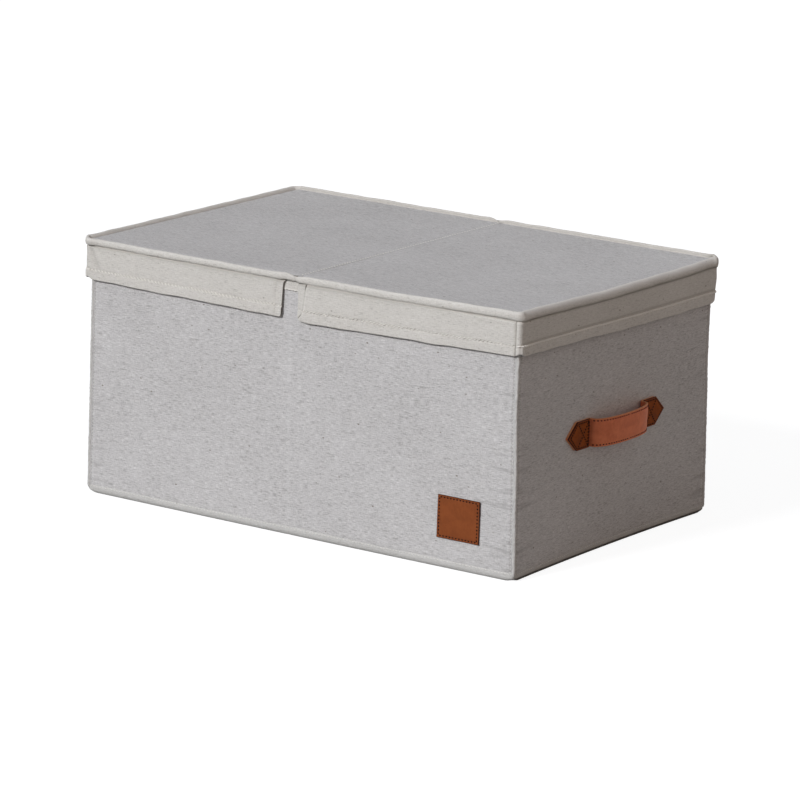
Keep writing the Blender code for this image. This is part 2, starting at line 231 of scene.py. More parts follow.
@dataclass(frozen=True)
class BoxSizes:
    """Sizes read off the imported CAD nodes."""

    half_length: float
    half_width: float
    binding_top: float
    canvas_top: float
    rim_top: float
    lid_under: float
    cover_top: float
    lid_top: float
    piping_foot: float
    piping_reach: float
    piping_width: float
    skirt_foot: float
    skirt_top: float
    skirt_inner: float
    skirt_outer: float
    left_lip: float
    right_lip: float

    @classmethod
    def from_frame(cls) -> "BoxSizes":
        """Read every size from the boxes of the CAD nodes."""
        half, front = node_box("right_end_canvas")[1, 0], node_box("front_canvas")
        piping, crease = node_box("lid_piping_right"), node_box("lid_crease_piping_front")
        skirt = node_box("lid_skirt_right_end")
        return cls(
            half_length=half,
            half_width=-front[0, 1],
            binding_top=node_box("bottom_binding")[1, 2],
            canvas_top=front[1, 2],
            rim_top=node_box("rim_binding")[1, 2],
            lid_under=node_box("lid_lining_right")[0, 2],
            cover_top=node_box("lid_cover_right")[1, 2],
            lid_top=piping[1, 2],
            piping_foot=piping[0, 2],
            piping_reach=piping[1, 0] - half,
            piping_width=crease[1, 1] - crease[0, 1],
            skirt_foot=skirt[0, 2],
            skirt_top=skirt[1, 2],
            skirt_inner=skirt[0, 0] - half,
            skirt_outer=skirt[1, 0] - half,
            left_lip=-node_box("lid_skirt_left_front")[1, 0],
            right_lip=node_box("lid_skirt_right_front")[0, 0],
        )


# Meshes


@dataclass
class Shell:
    """A closed surface: points, four-sided faces, a few many-sided caps, cloth map, and marks with painted
    light and shade.
    """

    points: Array
    quads: Array
    quad_uv: Array
    # Each point's cut edges and wear, and its painted light and shade.
    rub: Array
    caps: list[list[int]] = field(default_factory=list)
    cap_uv: list[Array] = field(default_factory=list)

    def volume(self) -> float:
        """The signed volume, which is above zero when the faces point outwards."""
        total = 0.0
        for faces in [self.quads] + [np.array([cap]) for cap in self.caps]:
            first = self.points[faces[:, 0]]
            for corner in range(1, faces.shape[1] - 1):
                second, third = self.points[faces[:, corner]], self.points[faces[:, corner + 1]]
                total += float((first * np.cross(second, third)).sum()) / 6
        return total

    def outward(self) -> "Shell":
        """Turn every face over if the shell is inside out."""
        if self.volume() < 0:
            self.quads, self.quad_uv = self.quads[:, ::-1], self.quad_uv[:, ::-1]
            self.caps = [cap[::-1] for cap in self.caps]
            self.cap_uv = [uv[::-1] for uv in self.cap_uv]
        return self


def cells(grid: Array) -> Array:
    """The four corners of each cell of a grid, one row for each cell."""
    corners = (grid[:-1, :-1], grid[1:, :-1], grid[1:, 1:], grid[:-1, 1:])
    return np.stack([corner.reshape(-1, *grid.shape[2:]) for corner in corners], axis=1)


def slab(outer: Field, inner: Field, u: Array, v: Array, edges: Sequence[float] = (0.5,) * 4,
         rub: Field | None = None) -> Shell:
    """A sheet with thickness between two surfaces, closed by rounded edges.

    Both surfaces close on their middle as a quarter ellipse: at a share t of an edge's reach the
    half thickness is multiplied by sqrt(1 - (1 - t)^2). They share the points of the rim.

    Args:
        outer, inner: The two surfaces, from places u and v.
        u, v: Places in the two directions.
        edges: The reach of the rounding at u's start and end and at v's start and end.
        rub: The surface's cut edges and wear, and its painted light and shade.

    Returns:
        The closed shell.
    """
    uu, vv = np.meshgrid(u, v, indexing="ij")
    near = np.minimum.reduce([
        (uu - u[0]) / edges[0], (u[-1] - uu) / edges[1], (vv - v[0]) / edges[2], (v[-1] - vv) / edges[3]
    ])
    fade = np.sqrt(np.clip(1 - (1 - np.clip(near, 0, 1)) ** 2, 0, 1))[..., None]
    above, below = outer(uu, vv), inner(uu, vv)
    middle = (above + below) / 2
    above, below = middle + (above - middle) * fade, middle + (below - middle) * fade
    rows, columns = uu.shape
    top = np.arange(rows * columns).reshape(rows, columns)
    bottom = top.copy()
    bottom[1:-1, 1:-1] = rows * columns + np.arange((rows - 2) * (columns - 2)).reshape(rows - 2, columns - 2)
    flat = cells(np.stack([uu, vv], axis=-1))
    painted_light_and_marks = rub(uu, vv) if rub else np.zeros_like(uu)
    return Shell(
        points=np.concatenate([above.reshape(-1, 3), below[1:-1, 1:-1].reshape(-1, 3)]),
        quads=np.concatenate([cells(top), cells(bottom)[:, ::-1]]),
        quad_uv=np.concatenate([flat, flat[:, ::-1]]),
        rub=np.concatenate([painted_light_and_marks.ravel(), painted_light_and_marks[1:-1, 1:-1].ravel()]),
    ).outward()


def roll(rings: Array, run: Array, girth: Array, closed: bool, rub: Array) -> Shell:
    """A tube through rings of points, closed on itself or capped at both ends.

    Args:
        rings: One row of points for each place along the tube.
        run: The length along the tube at each ring.
        girth: The length round the section at each of its points.
        closed: Whether the last ring joins the first.
        rub: Each point's cut edges and wear, and its painted light and shade, as an array like the rings.

    Returns:
        The closed shell.
    """
    rows, columns = rings.shape[:2]
    grid = np.arange(rows * columns).reshape(rows, columns)
    grid = np.concatenate([grid, grid[:, :1]], axis=1)
    girth = np.append(girth, 2 * girth[-1] - girth[-2])
    caps, cap_uv = [], []
    if closed:
        grid = np.concatenate([grid, grid[:1]], axis=0)
        run = np.append(run, 2 * run[-1] - run[-2])
    else:
        for ring, way in ((grid[0, :-1], 1), (grid[-1, :-1], -1)):
            caps.append(ring[::way].tolist())
            cap_uv.append(np.stack([np.full(columns, run[0]), girth[:-1]], axis=-1))
    flat = np.stack(np.meshgrid(run, girth, indexing="ij"), axis=-1)
    painted_light_and_marks = np.broadcast_to(rub, (rows, columns)).ravel()
    return Shell(rings.reshape(-1, 3), cells(grid), cells(flat), painted_light_and_marks, caps, cap_uv).outward()


def ribbon(line: Array, half: float, tip: float = 0.35) -> Array:
    """The closed section of a thin strip: its middle line moved half its thickness to each side.

    Args:
        line: Points of the middle line.
        half: Half the thickness.
        tip: The share of it that is left at the two ends.

    Returns:
        The section's points, up one side and down the other.
    """
    slope = unit(np.gradient(line, axis=0))
    side = np.stack([slope[:, 1], -slope[:, 0]], axis=1)
    width = np.full((len(line), 1), half)
    width[[0, -1]] *= tip
    return np.concatenate([line + side * width, (line - side * width)[::-1]])


def oval(half_x: float, half_y: float, power: float, count: int) -> Array:
    """Points of a superellipse |x / a|^n + |y / b|^n = 1, evenly spaced in angle."""
    turn = 2 * np.pi * np.arange(count) / count
    return np.stack([half * np.sign(way) * np.abs(way) ** (2 / power)
                     for half, way in ((half_x, np.cos(turn)), (half_y, np.sin(turn)))], axis=1)


@dataclass(frozen=True)
class Stitching:
    """A row of thread stitches, each a small bead that dips into the cloth at both ends."""

    length: float = 2.6
    radius: float = 0.28
    pitch: float = 3.6
    lean: float = 0.0
    lift: float = 0.05
    rings: int = 5
    sides: int = 6

    def beads(self, places: Array, along: Array, out: Array) -> Shell:
        """Put one stitch at each place.

        At t from -1 to 1 along a stitch its middle is lift - 1.3 radius t^2 above the cloth, and its
        radius is multiplied by sqrt(1 - 0.88 t^2).

        Args:
            places: The middle of each stitch, on the cloth.
            along: The direction of each stitch.
            out: The cloth's normal at each.

        Returns:
            One shell with all the stitches.
        """
        across = unit(np.cross(out, along))
        along = np.cross(across, out)
        along, across = (along * np.cos(self.lean) + across * np.sin(self.lean),
                         across * np.cos(self.lean) - along * np.sin(self.lean))
        t = np.linspace(-1, 1, self.rings)
        turn = 2 * np.pi * np.arange(self.sides) / self.sides
        thick = (self.radius * np.sqrt(1 - 0.88 * t ** 2))[:, None]
        rise = (self.lift - 1.3 * self.radius * t ** 2)[:, None] + thick * np.cos(turn)
        reach = np.broadcast_to((t * self.length / 2)[:, None], rise.shape)
        parts = ((reach, along), (rise, out), (thick * np.sin(turn), across))
        moved = sum(way[None, ..., None] * axis[:, None, None] for way, axis in parts)
        points = places[:, None, None] + moved
        count = self.rings * self.sides
        grid = np.arange(count).reshape(self.rings, self.sides)
        caps = [grid[0].tolist(), grid[-1, ::-1].tolist()]
        grid = np.concatenate([grid, grid[:, :1]], axis=1)
        flat = np.stack(np.meshgrid(t * self.length, np.linspace(0, 6, self.sides + 1) * self.radius,
                                    indexing="ij"), axis=-1)
        first = (np.arange(len(places)) * count)[:, None, None]
        return Shell(
            points=points.reshape(-1, 3),
            quads=(cells(grid)[None] + first).reshape(-1, 4),
            quad_uv=np.tile(cells(flat), (len(places), 1, 1)),
            rub=np.zeros(len(places) * count),
            caps=[[corner + start for corner in cap] for start in first.ravel().tolist() for cap in caps],
            cap_uv=[np.zeros((self.sides, 2))] * (2 * len(places)),
        ).outward()

    def follow(self, surface: Field, u: Array, v: Array, facing: Array) -> Shell:
        """Sew along a line drawn on a surface.

        Args:
            surface: The surface, from places u and v.
            u, v: Places of the line's points.
            facing: A direction that the outer side has to face.

        Returns:
            The row of stitches.
        """
        u, v = np.broadcast_arrays(np.asarray(u, float), np.asarray(v, float))
        run = travelled(surface(u, v))
        count = max(1, round(run[-1] / self.pitch))
        at = (np.arange(count) + 0.5) / count * run[-1]

        def read(where: Array) -> tuple[Array, Array]:
            """Places at lengths along the line."""
            return np.interp(where, run, u), np.interp(where, run, v)

        out = normals_of(surface, *read(at))
        out = out * np.sign((out * facing).sum(axis=-1, keepdims=True))
        along = surface(*read(at + self.pitch / 4)) - surface(*read(at - self.pitch / 4))
        return self.beads(surface(*read(at)), unit(along), out)


SEAM_STITCH = Stitching(length=2.4, radius=0.24, pitch=3.4)
FOOT_STITCH = Stitching(length=2.3, radius=0.2, pitch=3.6, lift=-0.04)
RIM_STITCH = Stitching(length=3.5, radius=0.65, pitch=3.6, lift=0.4)
FLOOR_STITCH = Stitching(length=2.8, radius=0.2, pitch=4.0, lift=-0.1)
PAD_STITCH = Stitching(length=2.6, radius=0.22, pitch=3.8)
LINING_STITCH = Stitching(length=2.6, radius=0.2, pitch=3.9, lift=0.0)
HEM_STITCH = Stitching(length=5.0, radius=0.62, pitch=4.2, lean=0.7, lift=0.44)
HEAVY_HEM_STITCH = Stitching(length=5.6, radius=0.95, pitch=3.8, lift=0.95)
CREASE_STITCH = Stitching(length=4.2, radius=0.5, pitch=4.4, lean=0.85)
STRAP_STITCH = Stitching(length=2.7, radius=0.68, pitch=3.6, lift=0.08)
TAB_STITCH = Stitching(length=2.5, radius=0.72, pitch=3.1, lift=0.15)
PATCH_STITCH = Stitching(length=2.4, radius=0.8, pitch=3.5, lift=0.15)


# Node materials


class Nodes:
    """A material's node tree, with short ways to add nodes and join them."""

    def __init__(self, name: str) -> None:
        """Start a material with its shader."""
        self.material = bpy.data.materials.new(name)
        self.material.use_nodes = True
        self.tree = self.material.node_tree
        self.shader = self.tree.nodes["Principled BSDF"]

    def add(self, kind: str, inputs: dict | None = None, **settings: object) -> bpy.types.Node:
        """Add a node.

        Args:
            kind: The node's type, without its common first word.
            inputs: For each input, by name or number, a constant or a socket to join to it.
            settings: The node's own properties.

        Returns:
            The node.
        """
        node = self.tree.nodes.new("ShaderNode" + kind)
        for key, value in settings.items():
            setattr(node, key, value)
        for key, value in (inputs or {}).items():
            if isinstance(value, Socket):
                self.tree.links.new(value, node.inputs[key])
            else:
                node.inputs[key].default_value = value
        return node

    def math(self, operation: str, *values: object, clamp: bool = False) -> Socket:
        """Add a Math node and return its value."""
        values = values if len(values) > 1 else (*values, 0.0)
        return self.add("Math", dict(enumerate(values)), operation=operation, use_clamp=clamp).outputs[0]

    def scaled(self, place: Socket, scale: Sequence[float]) -> Socket:
        """A place stretched by a scale for each direction."""
        return self.add("Mapping", {"Vector": place, "Scale": tuple(scale)}).outputs[0]

    def cloth_place(self) -> Socket:
        """The place on the cloth, in metres along its two directions."""
        return self.add("UVMap", uv_map=CLOTH_MAP).outputs[0]

    def space_place(self) -> Socket:
        """The place in the object's own space."""
        return self.add("TexCoord").outputs["Object"]

    def noise(self, place: Socket, scale: Sequence[float], detail: float = 2.0, rough: float = 0.5) -> Socket:
        """Noise stretched by a scale for each direction, from 0 to 1."""
        return self.add("TexNoise", {"Vector": self.scaled(place, scale), "Scale": 1.0, "Detail": detail,
                                     "Roughness": rough}).outputs[0]

    def cells(self, place: Socket, scale: Sequence[float], **settings: object) -> bpy.types.Node:
        """Scattered cells, stretched by a scale for each direction."""
        return self.add("TexVoronoi", {"Vector": self.scaled(place, scale), "Scale": 1.0}, **settings)

    def between(self, value: object, low: float, high: float) -> Socket:
        """Map low to 0 and high to 1, smoothly and clamped."""
        return self.add("MapRange", {0: value, 1: low, 2: high}, interpolation_type="SMOOTHSTEP").outputs[0]

    def mix(self, share: object, first: object, second: object) -> Socket:
        """Mix two colours."""
        first, second = (end if isinstance(end, Socket) else (*end, 1) for end in (first, second))
        return self.add("Mix", {0: share, 6: first, 7: second}, data_type="RGBA").outputs[2]

    def rub(self) -> Socket:
        """The cut edges and wear, and the painted light and shade, from the piece's own attribute."""
        return self.add("Attribute", attribute_name=MARKS_AND_PAINTED_LIGHT).outputs["Fac"]

    def finish(self, colour: Socket, height: Socket, depth: float, strength: float,
               roughness: Socket) -> bpy.types.Material:
        """Join colour, bump and roughness to the shader.

        Args:
            colour: The base colour.
            height: The bump's height, from 0 to 1.
            depth: What a height of 1 stands for, in metres.
            strength: The bump's strength.
            roughness: The roughness.

        Returns:
            The material.
        """
        bump = self.add("Bump", {"Height": height, "Distance": depth, "Strength": strength})
        for name, socket in (("Base Color", colour), ("Roughness", roughness), ("Normal", bump.outputs[0])):
            self.tree.links.new(socket, self.shader.inputs[name])
        return self.material


@dataclass(frozen=True)
class Finish:
    """A material that the record has a slot for. Its lengths are metres."""

    name: str
    slot: str

    def material(self) -> bpy.types.Material:
        """The material, made the first time that it is asked for."""
        return bpy.data.materials.get(self.name) or self.make(Nodes(self.name))

    def make(self, nodes: Nodes) -> bpy.types.Material:
        """Build the node tree."""
        raise NotImplementedError


@dataclass(frozen=True)
class WovenCloth(Finish):
    """Plain-woven cloth: long weft threads with thick slubs, fine warp threads and seed flecks.

    Its point attribute for marks and painted light goes from -2, for painted deep shade, by -1, for
    painted shade, to 1, where it is pale, for wear in some places and a painted highlight in others.
    """

    thread: Colour
    shade: Colour
    light: Colour
    fleck: Colour = (0.16, 0.12, 0.08)
    # The colour of the darkest painted shade.
    painted_deep_shade: Colour = (0.045, 0.033, 0.024)
    fleck_share: float = 0.1
    slub: float = 0.5
    weave: float = 0.5
    weft_scale: Triple = (170, 1250, 1)
    slub_scale: Triple = (60, 500, 1)
    warp_scale: Triple = (1150, 280, 1)
    cloud_scale: Triple = (9, 11, 1)
    streak_scale: Triple = (45, 190, 1)
    fleck_scale: Triple = (150, 260, 1)
    thread_pitch: float = 0.62 * MM
    depth: float = 0.3 * MM
    roughness: float = 0.92
    sheen: float = 0.06

    def make(self, nodes: Nodes) -> bpy.types.Material:
        """Build the weave from crossing threads and stretched noises over the cloth map."""
        m, place = nodes.math, nodes.cloth_place()
        weft = nodes.noise(place, self.weft_scale, 3, 0.65)
        slub = nodes.between(nodes.noise(place, self.slub_scale), 0.54, 0.72)
        warp = nodes.noise(place, self.warp_scale, 2, 0.6)
        cloud = nodes.noise(place, self.cloud_scale, 3)
        streak = nodes.noise(place, self.streak_scale)
        threads = self.crossing(nodes, place, weft, warp)
        weave = m("ADD", m("MULTIPLY", weft, 0.7), m("MULTIPLY", warp, 0.3))
        tone = m("MULTIPLY_ADD", m("SUBTRACT", weave, 0.5), 4.9 * self.weave, 0.53 - 0.2 * self.weave)
        tone = m("ADD", tone, m("MULTIPLY", threads, 0.33 * self.weave))
        for waves, share in ((cloud, 0.35), (streak, 0.6 * self.weave)):
            tone = m("ADD", tone, m("MULTIPLY", m("SUBTRACT", waves, 0.5), share))
        tone = m("SUBTRACT", tone, m("MULTIPLY", slub, 0.3 * self.slub), clamp=True)
        colour = nodes.mix(nodes.between(tone, 0.0, 0.55), self.shade, self.thread)
        colour = nodes.mix(nodes.between(tone, 0.55, 1.0), colour, self.light)
        spots = nodes.cells(place, self.fleck_scale)
        picked = nodes.add("SeparateColor", {0: spots.outputs["Color"]})
        seed = m("MULTIPLY", nodes.between(spots.outputs["Distance"], 0.24, 0.1),
                 nodes.between(picked.outputs[0], 1 - self.fleck_share, 1.02 - self.fleck_share))
        seed = m("MULTIPLY", seed, nodes.between(picked.outputs[1], 0.0, 1.1))
        colour = nodes.mix(m("MULTIPLY", seed, 0.85), colour, self.fleck)
        # Paler towards light for wear and painted highlights, towards shade for painted shade, and below -1
        # towards the painted deep shade.
        rub = nodes.rub()
        colour = nodes.mix(m("MULTIPLY", rub, 0.65, clamp=True), colour, self.light)
        colour = nodes.mix(m("MULTIPLY", rub, -0.85, clamp=True), colour, self.shade)
        colour = nodes.mix(m("MULTIPLY_ADD", rub, -1.0, -1.0, clamp=True), colour, self.painted_deep_shade)
        height = m("ADD", m("MULTIPLY", weave, 1.2), m("MULTIPLY", slub, 0.6 * self.slub))
        height = m("ADD", height, m("MULTIPLY", threads, 0.45))
        nodes.shader.inputs["Sheen Weight"].default_value = self.sheen
        nodes.shader.inputs["Sheen Roughness"].default_value = 0.5
        nodes.shader.inputs["Specular IOR Level"].default_value = 0.12
        roughness = m("MULTIPLY_ADD", weave, 0.12, self.roughness - 0.06)
        return nodes.finish(colour, height, self.depth, 0.6, roughness)

    def crossing(self, nodes: Nodes, place: Socket, weft: Socket, warp: Socket) -> Socket:
        """The height of a plain weave's threads, from 0 in a gap to 1 on a thread's crown.

        The sines a of the place along the weft and b across it each have half a wave for a thread.
        Where a b is above zero the weft thread is on top, with the profile |b|, and elsewhere the
        warp thread is, with the profile |a|. The noises push both a little aside.

        Args:
            nodes: The node tree.
            place: The place on the cloth.
            weft, warp: The noises along the two threads.

        Returns:
            The height.
        """
        m, split = nodes.math, nodes.add("SeparateXYZ", {0: place})
        waves = [m("SINE", m("MULTIPLY_ADD", split.outputs[axis], np.pi / self.thread_pitch,
                             m("MULTIPLY", push, 3.0))) for axis, push in ((0, warp), (1, weft))]
        over = nodes.between(m("MULTIPLY", *waves), -0.15, 0.15)
        tops = [m("ABSOLUTE", wave) for wave in waves]
        return m("ADD", m("MULTIPLY", over, tops[1]), m("MULTIPLY", m("SUBTRACT", 1.0, over), tops[0]))


@dataclass(frozen=True)
class Leather(Finish):
    """Smooth leather: fine pebbled grain, cloudy tone, faint creases and a darker or paler cut edge."""

    face: Colour
    deep: Colour
    cut: Colour
    grain: float = 0.12 * MM
    roughness: float = 0.5
    shine: float = 0.12

    def make(self, nodes: Nodes) -> bpy.types.Material:
        """Build the grain from cells and noises over the cloth map."""
        m, place = nodes.math, nodes.cloth_place()
        pores = nodes.cells(place, (1100, 1100, 1), feature="SMOOTH_F1").outputs["Distance"]
        cloud = nodes.noise(place, (70, 90, 1), 4, 0.6)
        fibre = nodes.noise(place, (420, 160, 1), 3, 0.6)
        tone = m("ADD", m("MULTIPLY", cloud, 0.7), m("MULTIPLY", fibre, 0.3))
        colour = nodes.mix(nodes.between(tone, 0.34, 0.66), self.deep, self.face)
        colour = nodes.mix(m("MULTIPLY", pores, 0.25), colour, self.deep)
        colour = nodes.mix(nodes.between(nodes.rub(), 0.15, 0.75), colour, self.cut)
        height = m("ADD", m("MULTIPLY", pores, -0.5), m("MULTIPLY", fibre, 0.5))
        nodes.shader.inputs["Specular IOR Level"].default_value = self.shine
        roughness = m("MULTIPLY_ADD", tone, 0.2, self.roughness - 0.1)
        return nodes.finish(colour, height, self.grain, 0.6, roughness)


@dataclass(frozen=True)
class Thread(Finish):
    """Twisted sewing thread."""

    light: Colour
    dark: Colour

    def make(self, nodes: Nodes) -> bpy.types.Material:
        """Build the twist from slanting bands over each stitch's own map."""
        turned = nodes.add("Mapping", {"Vector": nodes.cloth_place(), "Rotation": (0, 0, 0.9)}).outputs[0]
        twist = nodes.add("TexWave", {"Vector": turned, "Scale": 420.0, "Distortion": 0.6}).outputs[1]
        nodes.shader.inputs["Specular IOR Level"].default_value = 0.08
        return nodes.finish(nodes.mix(twist, self.dark, self.light), twist, 0.08 * MM, 0.5,
                            nodes.math("MULTIPLY_ADD", twist, 0.1, 0.7))


@dataclass(frozen=True)
class GreyBoard(Finish):
    """Pressed paper board, with fibres and specks."""

    pale: Colour = (0.5, 0.46, 0.4)
    dark: Colour = (0.34, 0.3, 0.25)

    def make(self, nodes: Nodes) -> bpy.types.Material:
        """Build the fibres from noises in the board's own space."""
        place = nodes.space_place()
        fibre = nodes.noise(place, (260, 420, 420), 5, 0.65)
        speck = nodes.between(nodes.noise(place, (900, 900, 900)), 0.62, 0.75)
        colour = nodes.mix(nodes.between(fibre, 0.3, 0.7), self.dark, self.pale)
        colour = nodes.mix(nodes.math("MULTIPLY", speck, 0.4), colour, self.dark)
        return nodes.finish(colour, fibre, 0.15 * MM, 0.4, nodes.math("MULTIPLY_ADD", fibre, 0.1, 0.82))


CANVAS = WovenCloth("slub_canvas", "canvas", (0.676, 0.66, 0.648), (0.43, 0.415, 0.405), (0.855, 0.84, 0.83),
                    fleck_share=0.075, slub=0.7, weave=0.6)
CREAM = WovenCloth("cream_twill", "cream_cloth", (0.76, 0.732, 0.678), (0.50, 0.475, 0.43),
                   (0.92, 0.895, 0.85), fleck_share=0.09, slub=0.35, weave=0.45, depth=0.25 * MM)
BINDING = WovenCloth("pale_binding", "cream_cloth", (0.66, 0.648, 0.62), (0.45, 0.435, 0.405),
                     (0.82, 0.81, 0.79), fleck_share=0.03, slub=0.3, weave=0.4, depth=0.25 * MM)
LINING = WovenCloth("plain_lining", "lining", (0.69, 0.68, 0.665), (0.56, 0.55, 0.53), (0.78, 0.77, 0.75),
                    fleck_share=0.01, slub=0.15, weave=0.3, thread_pitch=0.5 * MM, depth=0.12 * MM)
STRAP_LEATHER = Leather("tan_strap_leather", "strap_leather", (0.81, 0.25, 0.122), (0.64, 0.175, 0.08),
                        (0.66, 0.29, 0.14), roughness=0.55)
TAB_LEATHER = Leather("brown_tab_leather", "tab_leather", (0.31, 0.075, 0.013), (0.185, 0.042, 0.008),
                      (0.055, 0.016, 0.012), roughness=0.6, shine=0.05)
PATCH_LEATHER = Leather("brown_patch_leather", "patch_leather", (0.30, 0.084, 0.026), (0.235, 0.065, 0.021),
                        (0.075, 0.026, 0.016), roughness=0.62, shine=0.08)
CREAM_THREAD = Thread("cream_thread", "cream_cloth", (0.95, 0.93, 0.88), (0.80, 0.77, 0.71))
# A paler copy of the cream thread: a painted highlight on the right end's hem stitches.
PAINTED_HIGHLIGHT_THREAD = Thread("pale_thread", "cream_cloth", (0.98, 0.95, 0.89), (0.93, 0.9, 0.84))
BROWN_THREAD = Thread("brown_thread", "tab_leather", (0.03, 0.009, 0.006), (0.014, 0.005, 0.004))
BOARD = GreyBoard("grey_board", "board")


@dataclass(frozen=True)
class Bend:
    """The two bodies that a piece lies between, with a start and an end point; nothing uses them to bend it.
    """

    first: str
    second: str
    start: Triple
    end: Triple


def make_piece(name: str, shells: Sequence[Shell], finish: Finish, body: str | Bend,
               stands_for: Sequence[str] = ()) -> bpy.types.Object:
    """Put shells into one object, dress it, and tie it to its body; a piece given a Bend is tied to none.

    Args:
        name: The piece's name.
        shells: The closed surfaces that it is made of, in millimetres.
        finish: Its material.
        body: The body that it rides on, or a Bend, for which the piece's place is only baked into its mesh.
        stands_for: The CAD nodes that it replaces.

    Returns:
        The object, at the origin, with its place in its mesh, in metres.
    """
    faces, first = [], 0
    for shell in shells:
        faces += (shell.quads + first).tolist()
        faces += [[corner + first for corner in cap] for cap in shell.caps]
        first += len(shell.points)
    mesh = bpy.data.meshes.new(name)
    mesh.from_pydata(np.concatenate([shell.points for shell in shells]) * MM, [], faces)
    uv = [part.reshape(-1, 2) for shell in shells for part in (shell.quad_uv, *shell.cap_uv)]
    mesh.uv_layers.new(name=CLOTH_MAP).data.foreach_set("uv", np.concatenate(uv).ravel() * MM)
    rub = mesh.attributes.new(MARKS_AND_PAINTED_LIGHT, "FLOAT", "POINT")
    rub.data.foreach_set("value", np.concatenate([shell.rub for shell in shells]).astype(np.float32))
    mesh.polygons.foreach_set("use_smooth", np.ones(len(mesh.polygons), bool))
    mesh.materials.append(finish.material())
    mesh.update()
    piece = bpy.data.objects.new(name, mesh)
    bpy.context.collection.objects.link(piece)
    if isinstance(body, Bend):
        start, end = (tuple(value * MM for value in point) for point in (body.start, body.end))
        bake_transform(piece)
        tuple(start)
        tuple(end)
    else:
        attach(piece, body)
    if stands_for:
        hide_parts(*stands_for)
    log.info("%s: %d faces on %s", name, len(mesh.polygons), body)
    return piece


# The tub


@dataclass
class Outline:
    """A level closed path with round corners: its points, its outward normals and its length."""

    points: Array
    normals: Array
    run: Array

    @classmethod
    def rounded(cls, half_x: float, half_y: float, radius: float, pitch: float) -> "Outline":
        """Walk round a rectangle with round corners, anticlockwise from its right side.

        Args:
            half_x, half_y: Half its length and half its width.
            radius: The corners' radius.
            pitch: The spacing of points on its straight sides.

        Returns:
            The path.
        """
        points, normals = [], []
        for quarter, (sx, sy) in enumerate(((1, 1), (-1, 1), (-1, -1), (1, -1))):
            turn = (quarter + np.linspace(0, 1, 9)) * np.pi / 2
            way = np.stack([np.cos(turn), np.sin(turn)], axis=1)
            arc = np.array([sx * (half_x - radius), sy * (half_y - radius)]) + way * radius
            length = 2 * ((half_x if quarter % 2 == 0 else half_y) - radius)
            inner = stations(0, length, pitch, edge=1.2)[1:-1, None]
            points += [arc, arc[-1] + inner * np.array([-way[-1, 1], way[-1, 0]])]
            normals += [way, np.broadcast_to(way[-1], (len(inner), 2))]
        points = np.concatenate(points)
        return cls(points, np.concatenate(normals), travelled(points))

    def carry(self, depth: Array, height: Array) -> Array:
        """Rings of points, from a depth in from the path and a height, for each place and section point."""
        level = self.points[:, None] - self.normals[:, None] * depth[..., None]
        return np.concatenate([level, np.broadcast_to(height, level.shape[:2])[..., None]], axis=-1)

    def seam(self, depth: float, height: float) -> Array:
        """Points of a seam at one depth in from the path and one height, as rings of one point."""
        level = np.ones((len(self.run), 1))
        return self.carry(depth * level, height * level)

    def sew(self, sewing: Stitching, seam: Array, way: int = 1) -> Shell:
        """Sew all round the path.

        Args:
            sewing: The stitch.
            seam: The points of the seam, one ring for each point of the path.
            way: 1 to face outwards, -1 to face inwards.

        Returns:
            The row of stitches.
        """
        closed = np.concatenate([seam[:, 0], seam[:1, 0]])
        turned = np.concatenate([self.normals, self.normals[:1]]) * way
        run = travelled(closed)
        at = np.arange(round(run[-1] / sewing.pitch)) * sewing.pitch

        def read(values: Array, where: Array) -> Array:
            """Values at lengths along the seam."""
            return np.stack([np.interp(where, run, column) for column in values.T], axis=1)

        along = read(closed, at + 0.5) - read(closed, np.maximum(at - 0.5, 0))
        out = np.concatenate([read(turned, at), np.zeros((len(at), 1))], axis=1)
        return sewing.beads(read(closed, at), unit(along), unit(out))


